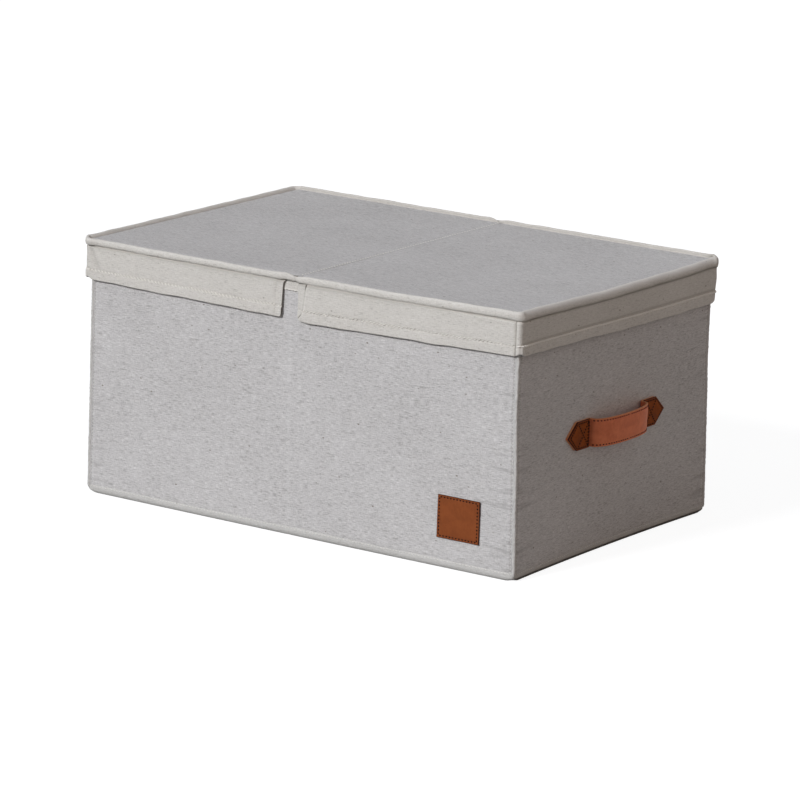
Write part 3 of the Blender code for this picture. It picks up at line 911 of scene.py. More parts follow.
@dataclass
class Tub:
    """The open box: canvas walls, corner welts, bindings, lining and sewn-in floor."""

    sizes: BoxSizes
    canvas: float = 1.0
    bow: float = 1.6
    bow_height: float = 205.0
    flare: float = 5.0
    flare_height: float = 160.0
    flare_reach: float = 60.0
    crease_top: float = -11.0
    crease_slope: float = 6.5 / 212
    welt_radius: float = 1.8
    welt_inset: float = 1.5
    seam_inset: float = 4.7
    corner_radius: float = 5.6
    corner_lift: float = 3.2
    corner_reach: float = 5.6
    binding_half: float = 0.42
    lining_inset: float = 6.0
    floor_inset: float = 1.6
    floor_radius: float = 5.0
    pucker_depth: float = 0.52
    soft_pucker_depth: float = 0.35
    seam_relief: Terms = ((-0.6, 0, 0.9), (0.2, 2.6, 1.4))
    # Across each corner seam: painted shade in its groove, a little paler on the ridge beside it.
    seam_wear: Terms = ((0.15, 2.4, 1.4), (-0.7, 0, 0.6))
    fold_relief: Terms = ((0.16, 0, 2), (-0.12, 3.4, 1.8), (-0.1, -3.4, 2))

    def settle(self, points: Array) -> Array:
        """Bow the front and back outwards a little near the foot, and let the right end stand out there.

        A point on the front or back moves out by bow (1 - (x / half length)^2) (1 - z / bow height)^1.5.
        A point within the flare's reach of the right end moves on by flare (1 - z / flare height)^0.8,
        less in the middle of that end than at its corners.

        Args:
            points: Points of an outer piece.

        Returns:
            The moved points.
        """
        x, y, z = points[..., 0], points[..., 1], points[..., 2]
        wall = ease((np.abs(y) - self.sizes.half_width + 25) / 20)
        reach = np.clip(1 - (x / self.sizes.half_length) ** 2, 0, 1)
        low = np.clip(1 - z / self.bow_height, 0, 1) ** 1.5
        near = ease((x - self.sizes.half_length + self.flare_reach) / (self.flare_reach - 5))
        to_corner = 0.2 + 0.8 * (y / self.sizes.half_width) ** 2
        out_x = self.flare * near * (np.clip(1 - z / self.flare_height, 0, 1) ** 0.8 * to_corner)
        out_y = np.sign(y) * wall * reach * low * self.bow
        return np.stack([x + out_x, y + out_y, z], axis=-1)

    def crease(self, along: Array, height: Array) -> Array:
        """The signed distance from the pressed fold in the front or back wall."""
        return along - self.crease_top - self.crease_slope * (212 - height) - 0.5 * wander(height, 70, 5)

    def seam_puckers(self, half: float, along: Array, height: Array, seed: int) -> list[tuple[Array, Array]]:
        """For the seam at each end of a wall, the distance from it and its puckers.

        Args:
            half: Half the wall's length.
            along, height: Places on the wall.
            seed: Picks the puckers.

        Returns:
            The left seam's distance and puckers, then the right one's.
        """
        span = (self.sizes.binding_top, self.sizes.canvas_top)
        aways = {hand: half - self.seam_inset - hand * along for hand in (-1, 1)}
        return [(away, puckers(np.abs(away), height, span, seed + hand)) for hand, away in aways.items()]

    def build_wall(self, side: Side) -> None:
        """Make one wall's canvas, and the stitches of the two seams at its ends.

        Its relief is the sum of wide gentle hills, the groove of each corner seam with the ridge
        beside it and the puckers that run out from it, and the pressed fold.

        Args:
            side: The wall.
        """
        sizes = self.sizes
        long_wall = side in (Side.FRONT, Side.BACK)
        half, face = ((sizes.half_length, sizes.half_width) if long_wall
                      else (sizes.half_width, sizes.half_length))
        reach = half - 3.0
        seed = 10 + list(Side).index(side)

        def outer(along: Array, height: Array) -> Array:
            """The outer face: the flat wall plus its relief, bowed."""
            relief = 0.32 * drift(along, height, 120, seed)
            seams = self.seam_puckers(half, along, height, seed)
            first_depth = self.soft_pucker_depth if long_wall else self.pucker_depth
            for (away, ridges), depth in zip(seams, (first_depth, self.pucker_depth)):
                relief = relief + bumps(away, *self.seam_relief) + depth * ridges
            if long_wall:
                relief = relief + bumps(self.crease(along, height), *self.fold_relief)
            relief = relief - 0.5 * ease((sizes.binding_top + 0.6 - height) / 1.6)
            relief = relief - 0.35 * ease((height - sizes.canvas_top + 2.4) / 1.2)
            return self.settle(side.place(along, face + relief, height))

        def inner(along: Array, height: Array) -> Array:
            """The inner face, a canvas thickness behind the flat wall."""
            return self.settle(side.place(along, np.full_like(along, face - self.canvas), height))

        def rub(along: Array, height: Array) -> Array:
            """Paler along the pressed fold; painted shade in the seam grooves and pucker hollows, a little
            paler on the ridge beside each seam, and on the ends a painted shadow under the lid's skirt.
            """
            painted_light_and_marks = bumps(half - self.seam_inset - np.abs(along), *self.seam_wear)
            for _, ridges in self.seam_puckers(half, along, height, seed):
                painted_light_and_marks = painted_light_and_marks - 0.7 * ease(-1.2 * ridges)
            if not long_wall:
                return np.clip(painted_light_and_marks - 0.5 * bell(height - sizes.skirt_foot - 1, 5), -1, 1)
            fold = 0.28 + 0.1 * wander(height, 23, 6)
            return np.clip(painted_light_and_marks + fold * bell(self.crease(along, height), 2), -1, 1)

        fine = [(hand * (half - 14), 14, 1.2) for hand in (-1, 1)]
        fine += [(hand * (half - self.seam_inset), 1.5, 0.35) for hand in (-1, 1)]
        if long_wall:
            fine.append((-6, 8, 1.0))
        u = stations(-reach, reach, 5, *fine)
        v = stations(sizes.binding_top - 4, sizes.canvas_top + 3, 1.7)
        word = side.name.lower()
        node = f"{word}_canvas" if long_wall else f"{word}_end_canvas"
        wall = make_piece(node.replace("canvas", "wall_canvas"), [slab(outer, inner, u, v, rub=rub)],
                          CANVAS, "tub", [node])
        levels, seam = np.linspace(sizes.binding_top + 1, sizes.canvas_top - 1, 400), half - self.seam_inset
        rows = [SEAM_STITCH.follow(outer, hand * seam, levels, side.out) for hand in (-1, 1)]
        make_piece(f"{word}_seam_stitches", rows, CREAM_THREAD, "tub")

    def build_welt(self, face: Side, hand: Hand) -> None:
        """Make one upright welt: a soft rolled strip of cream cloth at the corner.

        Its section is a circle, flattened a little, whose middle wanders by a fraction of a
        millimetre on its way up and whose radius tightens at each stitch.

        Args:
            face: The front or the back wall.
            hand: The end.
        """
        levels = stations(5.2, self.sizes.canvas_top + 4, 1.0, edge=0.4)
        seed = 40 + 2 * hand.value + (face is Side.FRONT)
        drawn_in = 0.035 * np.sin(2 * np.pi * levels / SEAM_STITCH.pitch)
        radius = self.welt_radius * (1 + 0.05 * wander(levels, 26, seed) + drawn_in)
        radius = radius * (0.62 + 0.38 * ease((levels - 3) / 6))
        turn = 2 * np.pi * np.arange(20) / 20
        lumps = drift(levels[:, None], turn[None] * 1.3, 3.6, seed + 20)
        radius = radius[:, None] * (1 + 0.09 * lumps)
        facing = -1 if face is Side.FRONT else 1
        across = self.sizes.half_length - self.welt_inset + 0.12 * wander(levels, 60, seed + 7)
        beside = self.sizes.half_width - self.welt_inset + 0.12 * wander(levels, 50, seed + 8)
        section = oval(1, 1, 2.5, 20)
        x = hand.value * (across[:, None] + radius * section[:, 0])
        y = facing * (beside[:, None] + radius * section[:, 1])
        rings = self.settle(np.stack([x, y, np.broadcast_to(levels[:, None], x.shape)], axis=-1))
        place = f"{face.name.lower()}_{hand.word}"
        # Paler where the roll bulges and darker where it dips: painted light and shade on its lumps.
        shell = roll(rings, levels, turn * self.welt_radius, False, 0.3 * lumps)
        make_piece(f"corner_welt_roll_{place}", [shell], BINDING, "tub", [f"corner_welt_{place}"])

    def around(self, pitch: float) -> Outline:
        """The path round the walls, with points at a pitch."""
        return Outline.rounded(self.sizes.half_length, self.sizes.half_width, self.corner_radius, pitch)

    def by_corners(self, outline: Outline, reach: float) -> Array:
        """A Gaussian of the distance from the nearest corner of the box, seen from above."""
        corners = np.array([[sx * self.sizes.half_length, sy * self.sizes.half_width]
                            for sx in (-1, 1) for sy in (-1, 1)])
        away = np.linalg.norm(outline.points[:, None] - corners[None], axis=2).min(axis=1)
        return bell(away, reach)[:, None]

    def build_bottom_binding(self) -> None:
        """Make the cream binding round the foot, and its stitches.

        Its section is a flat superellipse. The lower edge lifts and the binding thins as a Gaussian
        of the distance from a corner, and the upper edge wanders.
        """
        top = self.sizes.binding_top
        outline = self.around(3.2)
        section = oval(0.78, 1, 3.4, 24)
        near, run = self.by_corners(outline, self.corner_reach), outline.run[:, None]
        low = 0.3 + self.corner_lift * near
        high = top + 0.25 * wander(run, 47, 61) + 0.3 * near
        height = (low + high) / 2 + (high - low) / 2 * section[:, 1]
        depth = 0.34 - section[:, 0] * (1 + 0.12 * wander(run, 33, 62))
        tuck = ease((3.6 - height) / 3.6) * (1.7 + 1.2 * near)
        rings = self.settle(outline.carry(depth + tuck + 0.55 * ease((height - top + 2.5) / 2.5), height))
        end = ease((np.abs(outline.points[:, :1]) - self.sizes.half_length + 4) / 3)
        # On the ends the binding is darker, as painted shade, deepest in a painted contact shadow along its
        # lower edge; near each corner a line of painted shade lies just under its upper edge.
        painted_light_and_marks = -end * (0.3 + 1.7 * ease((4.6 - height) / 2)) - 1.3 * near * bell(height - top + 1.2, 0.6)
        shell = roll(rings, outline.run, travelled(section * [1, 4.4]), True, painted_light_and_marks)
        make_piece("foot_binding", [shell], BINDING, "tub", ["bottom_binding"])
        seam = self.settle(outline.seam(-self.binding_half, top - 1.7))
        make_piece("foot_binding_stitches", [outline.sew(FOOT_STITCH, seam)], CREAM_THREAD, "tub")

    def build_rim_binding(self) -> None:
        """Make the binding folded over the rim: a thin strip bent over the wall's top edge."""
        sizes, half, outline = self.sizes, self.binding_half, self.around(2)
        foot, top, bend = sizes.canvas_top - 1.3, sizes.rim_top - half, 1.5
        turn = np.linspace(0, np.pi / 2, 5)
        outer, inner = 0.12, 4.75
        line = np.concatenate([
            np.stack([np.full(7, outer), np.linspace(foot, top - bend, 8)[:-1]], 1),
            np.stack([outer + bend * (1 - np.cos(turn)), top - bend + bend * np.sin(turn)], 1),
            np.stack([inner - bend * (1 - np.sin(turn)), top - bend + bend * np.cos(turn)], 1),
            np.stack([np.full(7, inner), np.linspace(top - bend, foot, 8)[1:]], 1),
        ])
        section = ribbon(line, half)
        away, level, run = section[:, 0], section[:, 1], outline.run[:, None]
        height = level + 0.3 * wander(run, 52, 71) * ease((foot + 5 - level) / 5)
        rings = outline.carry(away + 0.1 * wander(run, 12, 72) * ease((top - level) / 4), height)
        lap = bell(outline.points[:, :1] + 14.5, 0.9) * ease((level - foot) / 2)
        sewn = bell(level - foot - 0.9, 0.7) * np.ones_like(run)
        shell = roll(rings, outline.run, travelled(section), True, np.clip(0.9 * lap + sewn, 0, 1))
        make_piece("rim_binding_fold", [shell], CREAM, "tub", ["rim_binding"])
        rows = [outline.sew(RIM_STITCH, outline.seam(depth, foot + 0.9), way)
                for depth, way in ((outer - half, 1), (inner + half, -1))]
        make_piece("rim_stitches", rows, CREAM_THREAD, "tub")

    def build_lining(self) -> None:
        """Make the lining: a thin upright ring inside the walls, with hills and corner tucks."""
        sizes, outline = self.sizes, self.around(5)
        levels = stations(1.5, sizes.canvas_top + 3, 6, edge=0.6)
        section = ribbon(np.stack([np.full_like(levels, 4.4), levels], 1), 0.38)
        run, count = outline.run[:, None], len(levels)
        inside = np.repeat([0.0, 1.0], count)
        fold = bell(outline.points[:, :1] + 5, 2.2)
        hills = 0.3 * drift(run, section[:, 1][None], 85, 81) + 0.35 * self.by_corners(outline, 12)
        depth = section[:, 0] + inside * np.clip(hills - 0.3 * fold, -0.3, 0.7)
        shell = roll(outline.carry(depth, section[:, 1]), outline.run, travelled(section), True,
                     0.5 * fold * np.ones(2 * count))
        lining = make_piece("wall_lining", [shell], LINING, "tub", ["inner_lining"])

    def build_floor(self) -> None:
        """Make the sewn-in floor cloth, slack between its seams, with its corners cut round."""
        sizes, radius = self.sizes, self.floor_radius
        half_x, half_y = sizes.half_length - self.floor_inset, sizes.half_width - self.floor_inset

        def level(x: Array, y: Array, height: Array) -> Array:
            """A level sheet whose corners are pulled onto an arc and lift with the foot binding."""
            over_x, over_y = np.abs(x) - half_x + radius, np.abs(y) - half_y + radius
            far = np.hypot(np.maximum(over_x, 0), np.maximum(over_y, 0))
            pull = np.where((over_x > 0) & (over_y > 0) & (far > radius), radius / np.maximum(far, 1e-6), 1.0)
            x = np.where(pull < 1, np.sign(x) * (half_x - radius + over_x * pull), x)
            y = np.where(pull < 1, np.sign(y) * (half_y - radius + over_y * pull), y)
            corner = np.hypot(sizes.half_length - np.abs(x), sizes.half_width - np.abs(y))
            lift = self.corner_lift * bell(np.maximum(corner - 2, 0), self.corner_reach - 1.5)
            return self.settle(np.stack([x, y, height + lift], axis=-1))

        def outer(x: Array, y: Array) -> Array:
            """The underside, with hollows between the seams, where it rests."""
            inside = ease(np.minimum(half_x - np.abs(x), half_y - np.abs(y)) / 40)
            hills = 0.16 * inside * np.maximum(1 + drift(x, y, 130, 91), 0) + 0.25 * bell(x + 4, 2.5)
            return level(x, y, 0.11 + hills)

        def inner(x: Array, y: Array) -> Array:
            """The side that faces into the box."""
            return level(x, y, np.full_like(x, 1.2))

        u, v = stations(-half_x, half_x, 6, (-4, 5, 1.2)), stations(-half_y, half_y, 6)
        floor = make_piece("floor_canvas", [slab(outer, inner, u, v)], CANVAS, "tub", ["floor_cloth"])
        rows, far_x, far_y = [], half_x - 7, half_y - 7
        for hand in (-1, 1):
            rows.append(FLOOR_STITCH.follow(outer, np.linspace(-far_x, far_x, 300), hand * far_y, -UP))
            rows.append(FLOOR_STITCH.follow(outer, hand * far_x, np.linspace(-far_y, far_y, 200), -UP))
        make_piece("floor_stitches", rows, CREAM_THREAD, "tub")

    def build(self) -> None:
        """Make every piece of the tub."""
        for side in Side:
            self.build_wall(side)
        for face in (Side.FRONT, Side.BACK):
            for hand in Hand:
                self.build_welt(face, hand)
        self.build_bottom_binding()
        self.build_rim_binding()
        self.build_lining()
        self.build_floor()


@dataclass
class LoosePad:
    """The loose base: two boards in cloth covers that fold together at the middle."""

    seam_inset: float = 7.0

    def __post_init__(self) -> None:
        """Read the sizes off the right half's CAD nodes."""
        (self.start, _, self.foot), (self.reach, self.half_width, self.top) = node_box("base_cover_right")

    def case_face(self, hand: Hand, way: int, x: Array, y: Array) -> Array:
        """The upper or lower face of a case: level, with gentle hills and a sewn groove above.

        Args:
            hand: The half.
            way: 1 for the upper face, -1 for the lower one.
            x: Distances from the crease.
            y: Places across.

        Returns:
            The points.
        """
        inside = np.minimum.reduce([x - self.start, self.reach - x, self.half_width - np.abs(y)])
        hills = 0.12 * drift(x * hand.value, y, 90, 101) - 0.3 * bell(inside - self.seam_inset, 1.1)
        lift = (self.top - self.foot) / 2 + (hills if way > 0 else 0.1)
        height = (self.top + self.foot) / 2 + way * lift * np.ones_like(x)
        return np.stack([x * hand.value, y, height], axis=-1)

    def build_cover(self, hand: Hand) -> None:
        """Make one cover: a flat case, a little plump, with a sewn line inside its edge."""
        low, high = self.start + self.seam_inset, self.reach - self.seam_inset
        side = self.half_width - self.seam_inset
        u = stations(self.start, self.reach, 7, (low, 2, 1), (high, 2, 1))
        v = stations(-self.half_width, self.half_width, 7, (-side, 2, 1), (side, 2, 1))
        body = "tub" if hand is Hand.LEFT else "base_right"
        upper, lower = (partial(self.case_face, hand, way) for way in (1, -1))
        make_piece(f"base_case_{hand.word}", [slab(upper, lower, u, v, (1.0,) * 4)], LINING, body,
                   [f"base_cover_{hand.word}"])
        xs, ys = np.linspace(low, high, 200), np.linspace(-side, side, 200)
        rows = [PAD_STITCH.follow(upper, xs, way * side, UP) for way in (-1, 1)]
        rows += [PAD_STITCH.follow(upper, at, ys, UP) for at in (low, high)]
        make_piece(f"base_stitches_{hand.word}", rows, CREAM_THREAD, body)

    def strip_face(self, drop: float, x: Array, y: Array) -> Array:
        """One face of the hinge strip, which sags by a Gaussian over the gap."""
        return np.stack([x, y, self.top + 0.12 - drop - 0.5 * bell(x, 1.4)], axis=-1)

    def build_strip(self) -> None:
        """Make the cloth hinge between the covers: a strip that sags into the gap."""
        half = self.start + 1.0
        u, v = stations(-half, half, 0.5), stations(-self.half_width, self.half_width, 6)
        bend = Bend("tub", "base_right", (0.8, 0, self.top), (self.start + 0.9, 0, self.top))
        faces = (partial(self.strip_face, drop) for drop in (0.0, 0.5))
        make_piece("base_hinge_cloth", [slab(*faces, u, v, (0.4,) * 4)], LINING, bend, ["base_crease_strip"])

    def build(self) -> None:
        """Make both covers and the strip between them."""
        for hand in Hand:
            self.build_cover(hand)
        self.build_strip()


# The lid


@dataclass
class Band:
    """The level path round one half of the lid: from the crease at the front, round the end, to the back."""

    hand: Hand
    half_x: float
    half_y: float
    radius: float

    def __post_init__(self) -> None:
        """Walk the path densely, and keep its length and the lengths at the middles of its two corners."""
        turn = np.linspace(-np.pi / 2, 0, 33)
        corner = np.array([self.half_x - self.radius, self.half_y - self.radius])
        first, second = (np.stack([np.cos(at), np.sin(at)], 1) for at in (turn, turn + np.pi / 2))
        level = np.array([[0.0, -1.0]])
        self.points = np.concatenate([[[0, -self.half_y]], corner * [1, -1] + first * self.radius,
                                      corner + second * self.radius, [[0, self.half_y]]])
        self.normals = np.concatenate([level, first, second, -level])
        self.points[:, 0] *= self.hand.value
        self.normals[:, 0] *= self.hand.value
        self.run = travelled(self.points)
        self.length = float(self.run[-1])
        self.first = self.half_x - self.radius + self.radius * np.pi / 4
        self.last = self.length - self.first

    def at(self, length: Array, out: Array, height: Array) -> Array:
        """Points at a length along the path, a distance out of it and a height.

        Past its ends the path goes straight on.

        Args:
            length: Lengths along the path.
            out: Distances out of the path.
            height: Heights.

        Returns:
            The points.
        """
        length, out, height = np.broadcast_arrays(length, out, height)
        inside = np.clip(length, 0, self.length)
        point, normal = (np.stack([np.interp(inside, self.run, column) for column in values.T], axis=-1)
                         for values in (self.points, self.normals))
        past = np.where(length < 0, length, np.where(length > self.length, self.length - length, 0))
        point[..., 0] += past * self.hand.value
        return np.concatenate([point + unit(normal) * out[..., None], height[..., None]], axis=-1)

    def on_end(self, run: Array, blur: float = 2.0) -> Array:
        """1 on the end, between the two corners, and 0 on the front and back."""
        return ease((run - self.first) / blur) * ease((self.last - run) / blur)


@dataclass
class LidHalf:
    """One half of the lid: cover, lining, piping and the three hanging skirts."""

    sizes: BoxSizes
    hand: Hand
    crease_bend: float = 8.0
    hem: float = 10.6
    side_hem: float = 8.0
    corner_radius: float = 4.4
    piping_radius: float = 5.4
    corner_split: float = 5.0
    lip_flare: float = 5.0
    seam_inset: float = 6.0
    fold_drops: tuple[float, ...] = (0, 0.15, 0.66, 0.81, 0.93, 1)
    fold_places: tuple[float, ...] = (11.6, 9.6, 6.8, 5.0, 0.3, -5)
    seam_relief: Terms = ((-0.6, 0, 0.9), (0.4, 2.6, 1.3))
    # Across the end's hem line: a painted highlight on it and painted shade just above it.
    hem_wear: Terms = ((2.2, 0, 0.5), (-0.8, 2.5, 1.3))
    wrinkle_relief: Terms = ((-0.9, 0, 3.2), (0.6, 5, 3.2))
    # Across the wrinkle: painted shade in it and a painted highlight on its ridge.
    wrinkle_wear: Terms = ((0.25, 5, 3), (-0.4, 0, 3.6))

    def __post_init__(self) -> None:
        """Work out the names, the lip's place and the path under the skirts' outer face."""
        sizes = self.sizes
        self.left = self.hand is Hand.LEFT
        self.body = f"lid_{self.hand.word}"
        self.lip = sizes.left_lip if self.left else sizes.right_lip - 2
        self.seed = 200 if self.left else 250
        half_x, half_y = (half + sizes.skirt_outer for half in (sizes.half_length, sizes.half_width))
        self.band = Band(self.hand, half_x, half_y, self.corner_radius)
        self.seam = sizes.skirt_foot + self.hem

    def bend(self, start: float, end: float, height: float) -> Bend:
        """A Bend from the crease to this half, between two distances from the crease."""
        way = self.hand.value
        return Bend("lid_crease", self.body, (way * start, 0, height), (way * end, 0, height))

    def build_cover(self) -> None:
        """Make the top cloth: almost flat, dipping to the piping and to the crease."""
        top, way, word = self.sizes.cover_top, self.hand.value, self.hand.word
        side, end = self.sizes.half_width + 0.9, self.sizes.half_length + 0.9

        def outer(x: Array, y: Array) -> Array:
            """The top: gentle hills, a slope down at the edges and puckers along the piping."""
            edge = np.minimum(end - x, side - np.abs(y))
            lift = 0.28 * drift(way * x, y, 150, 31) * ease(edge / 20) - 0.55 * bell(edge, 3)
            lift = lift + 0.16 * puckers(np.maximum(side - np.abs(y), 0), way * x, (-250, 250), 32, 9, 9)
            return np.stack([way * x, y, top + lift], axis=-1)

        def inner(x: Array, y: Array) -> Array:
            """The underside of the cloth, level."""
            return np.stack([way * x, y, np.full_like(x, top - 1)], axis=-1)

        def rub(x: Array, y: Array) -> Array:
            """Pale along the crease, with painted shade beside the tuck."""
            return bumps(x, (0.2, 0, 1.2), (-0.6, 1.9, 0.7)) * np.ones_like(y)

        u = stations(0, end, 5, (2, 3, 0.7), (end, 5, 1.2), edge=0.05)
        v = stations(-side, side, 4.5, (-side, 9, 1.6), (side, 9, 1.6))
        shell = slab(outer, inner, u, v, (0.06, 0.5, 0.5, 0.5), rub)
        cover = make_piece(f"lid_top_canvas_{word}", [shell], CANVAS, self.bend(0.5, self.crease_bend, top),
                           [f"lid_cover_{word}"])

    def build_lining(self) -> None:
        """Make the lining: level under the board, then up its edge to the seam at the crease."""
        sizes, way, word, inset = self.sizes, self.hand.value, self.hand.word, self.seam_inset
        side, end = sizes.half_width + 0.3, sizes.half_length + 0.3
        under, roof, board_edge, bend = sizes.lid_under + 0.4, sizes.cover_top - 1.5, 3.0, 1.0
        turn = np.linspace(0, np.pi / 2, 7)
        line = np.concatenate([
            [[0.05, roof]],
            np.stack([board_edge - bend + bend * np.sin(turn), roof - bend + bend * np.cos(turn)], 1),
            np.stack([board_edge + bend * (1 - np.cos(turn)), under + bend - bend * np.sin(turn)], 1),
            [[end, under]],
        ])
        run = travelled(line)
        slope = unit(np.gradient(line, run, axis=0))
        turned = np.stack([slope[:, 1], -slope[:, 0]], axis=1)
        last = run[-1]

        def face(out: float, u: Array, v: Array) -> Array:
            """The profile at u, moved out by a distance, at v from front to back."""
            x, z, nx, nz = (np.interp(u, run, column) for column in (*line.T, *turned.T))
            hills = 0.14 * drift(u * way, v, 110, 37) * ease((u - 20) / 20)
            hills = hills - 0.2 * bell(np.minimum(last - u, side - np.abs(v)) - inset, 1.2)
            out = out + hills * (out > 0)
            return np.stack([way * (x + nx * out), v, z + nz * out], axis=-1)

        lower, upper = partial(face, 0.35), partial(face, -0.35)
        u = stations(0, last, 7, (4, 5, 0.35), (last - inset, 2, 1.1), edge=0.05)
        v = stations(-side, side, 7, (inset - side, 2, 1.1), (side - inset, 2, 1.1))
        shell = slab(lower, upper, u, v, (0.06, 0.4, 0.4, 0.4))
        lining = make_piece(f"lid_under_cloth_{word}", [shell], LINING, self.bend(0.2, 2.9, sizes.lid_under),
                            [f"lid_lining_{word}"])
        us, vs = np.linspace(16, last - inset, 240), np.linspace(inset - side, side - inset, 240)
        rows = [LINING_STITCH.follow(lower, us, hand * (side - inset), -UP) for hand in (-1, 1)]
        rows.append(LINING_STITCH.follow(lower, last - inset, vs, -UP))
        make_piece(f"lid_under_stitches_{word}", rows, CREAM_THREAD, self.body)

    def sag(self, band: Band, run: Array) -> Array:
        """How far the piping lies below its level place: most along the front and the right end.

        Args:
            band: The path that the lengths are measured along.
            run: Lengths along it.

        Returns:
            The distances down.
        """
        first, last = band.first, band.last
        front, end = np.clip(run / first, 0, 1), np.clip((run - first) / (last - first), 0, 1)
        if self.left:
            sags = 1.9 - 0.5 * ease(front * 2.4 - 1.4), 0.9 - 0.5 * end
        else:
            sags = 2.2 * ease((1 - front) * 1.5), 2.9 * ease(end * 2.2) * (1 - 0.4 * ease(end * 5 - 4))
        before = ease((first + 4 - run) / 8)
        return (before * sags[0] + (1 - before) * sags[1]) * (1 - ease((run - last) / 4))

    def build_piping(self) -> None:
        """Make the rolled piping: an oval roll whose right end lies over its left end at the crease.

        The section is an oval that hangs lower at the corners. Its middle wanders. At the crease the
        left roll narrows by a Gaussian and rises before it, and the right roll's rings slant, so
        that its end crosses the left one in a diagonal.
        """
        sizes, left, seed = self.sizes, self.left, self.seed
        half_wide, half_high = sizes.piping_width / 2, (sizes.lid_top - sizes.piping_foot) / 2
        out = sizes.piping_reach - half_wide
        band = Band(self.hand, sizes.half_length + out, sizes.half_width + out, self.piping_radius)
        first, last = band.first, band.last
        run = stations(0, band.length, 3.2, *[(at, 14, 0.7) for at in (0, band.length)],
                       *[(at, 6, 0.7) for at in (first, last)], edge=0.5)
        crease = np.minimum(run, band.length - run)
        at_front = run < band.length / 2
        front = np.where(at_front, 1.0, 0.55)
        end_part, back_part = band.on_end(run, 6), ease((run - last) / 4)[:, None]
        slim = ease((first + 4 - run) / 8) * (0.2 if left else 0.12 * np.clip(1 - run / first, 0, 1))
        plump = (1.0, 0.1) if left else (0.25, 1.0)
        near = np.maximum(plump[0] * bell(run - first, 7), plump[1] * bell(run - last, 7))
        section = oval(1, 1, 2.3, 28)
        wide_end, high_corner, lean_corner = (0, 0, 2.6) if left else (0.2, 0.13, 1.3)
        wide = half_wide * (1 + 0.06 * wander(run, 31, seed + 1) + 0.2 * near + wide_end * end_part)
        high = half_high * (1 - slim + 0.035 * wander(run, 44, seed + 2) + high_corner * near)
        lean = 0.25 * wander(run, 55, seed + 4) - 0.2 + lean_corner * near
        middle = (sizes.lid_top + sizes.piping_foot) / 2 + 0.18 * wander(run, 70, seed + 3)
        middle = middle - self.sag(band, run)
        if left:
            pinch = bell(crease, 7)
            high, wide, lean = high * (1 - 0.5 * pinch), wide * (1 - 0.15 * pinch), lean - 0.8 * pinch
            middle = middle + 0.7 * front * bell(crease - 15, 6) - 1.3 * pinch
            slant = np.zeros_like(run)
        else:
            end = 1 - ease(crease / 9)
            high, wide, lean = high * (1 - 0.26 * end), wide * (1 - 0.1 * end), lean + 0.3 * end
            middle = middle - 0.75 * front * end
            slant = -0.9 * end
        level = section[:, 1]
        x, y = section[:, 0] * wide[:, None], level * high[:, None]
        x = x + (0.45 if left else -0.4) * end_part[:, None] * (y + 0.5 * half_high)
        y = y * (1 + (0 if left else 0.28) * near[:, None] * ease(-level * 1.5))
        shear = slant[:, None] * (y + 1.5) - (1.2 * (slant < 0) * (1 - ease(crease / 3)))[:, None]
        rings = band.at(run[:, None] + np.where(at_front, 1, -1)[:, None] * shear, x + lean[:, None],
                        middle[:, None] + y)
        # Painted light and shade: the roll's upper side paler and its back part darker; on the left half a
        # painted highlight on the end's inner side and painted shade where its end lies under the right roll;
        # on the right half a painted highlight on the end's top, painted shade under it, and painted shade by
        # the back corner and at the crease.
        back_shade = 0.5 + 0.5 * bell(level - 0.62, 0.2) * (section[:, 0] < 0)
        painted_light_and_marks = 0.3 * ease(level * 1.4 - 0.3) - back_part * back_shade
        if left:
            painted_light_and_marks = painted_light_and_marks + 0.9 * end_part[:, None] * ease(0.4 - section[:, 0])
            painted_light_and_marks = painted_light_and_marks - (1 - 0.5 * level) * bell(crease, 4)[:, None]
        else:
            painted_light_and_marks = painted_light_and_marks + end_part[:, None] * (ease(0.5 + level * 1.4) - 0.9 * ease(-0.45 - level * 1.5))
            painted_light_and_marks = painted_light_and_marks - 0.7 * (bell(run - last, 9) + bell(crease, 1.6))[:, None]
        shell = roll(rings, run, travelled(section * half_high), False, np.clip(painted_light_and_marks, -1.6, 1))
        nodes = [f"lid_piping_{self.hand.word}", "lid_crease_piping_front", "lid_crease_piping_back"]
        make_piece(f"lid_roll_{self.hand.word}", [shell], CREAM,
                   self.bend(0.3, self.crease_bend, sizes.lid_top), nodes)

    def drop(self, height: Array) -> Array:
        """How far down the skirt a height is, from 0 at its top to 1 at its foot."""
        return np.clip((self.sizes.skirt_top - height) / (self.sizes.skirt_top - self.sizes.skirt_foot), 0, 1)

    def lips(self, run: Array) -> tuple[Array, Array]:
        """The distances from the free lips at the front and at the back."""
        return run - self.lip, self.band.length - self.lip - run

    def lip_fold(self, free: Array, height: Array) -> Array:
        """The distance past a free lip's fold, which is upright on the left half and mitred on the right."""
        mitred = np.interp(self.drop(height), self.fold_drops, self.fold_places)
        return free - (self.side_hem if self.left else mitred)

    def wrinkle(self, run: Array, height: Array) -> tuple[Array, Array]:
        """The slanting wrinkle by the left half's front corner.

        Args:
            run: Lengths along the path.
            height: Heights.

        Returns:
            The distance across the wrinkle, and its strength.
        """
        drop = self.drop(height)
        across = self.band.first - run - (3 + 19 * drop ** 1.3)
        strength = ease(drop * 5) * ease((0.8 - drop) * 4) * self.left
        return across, strength * (run < self.band.length / 2)

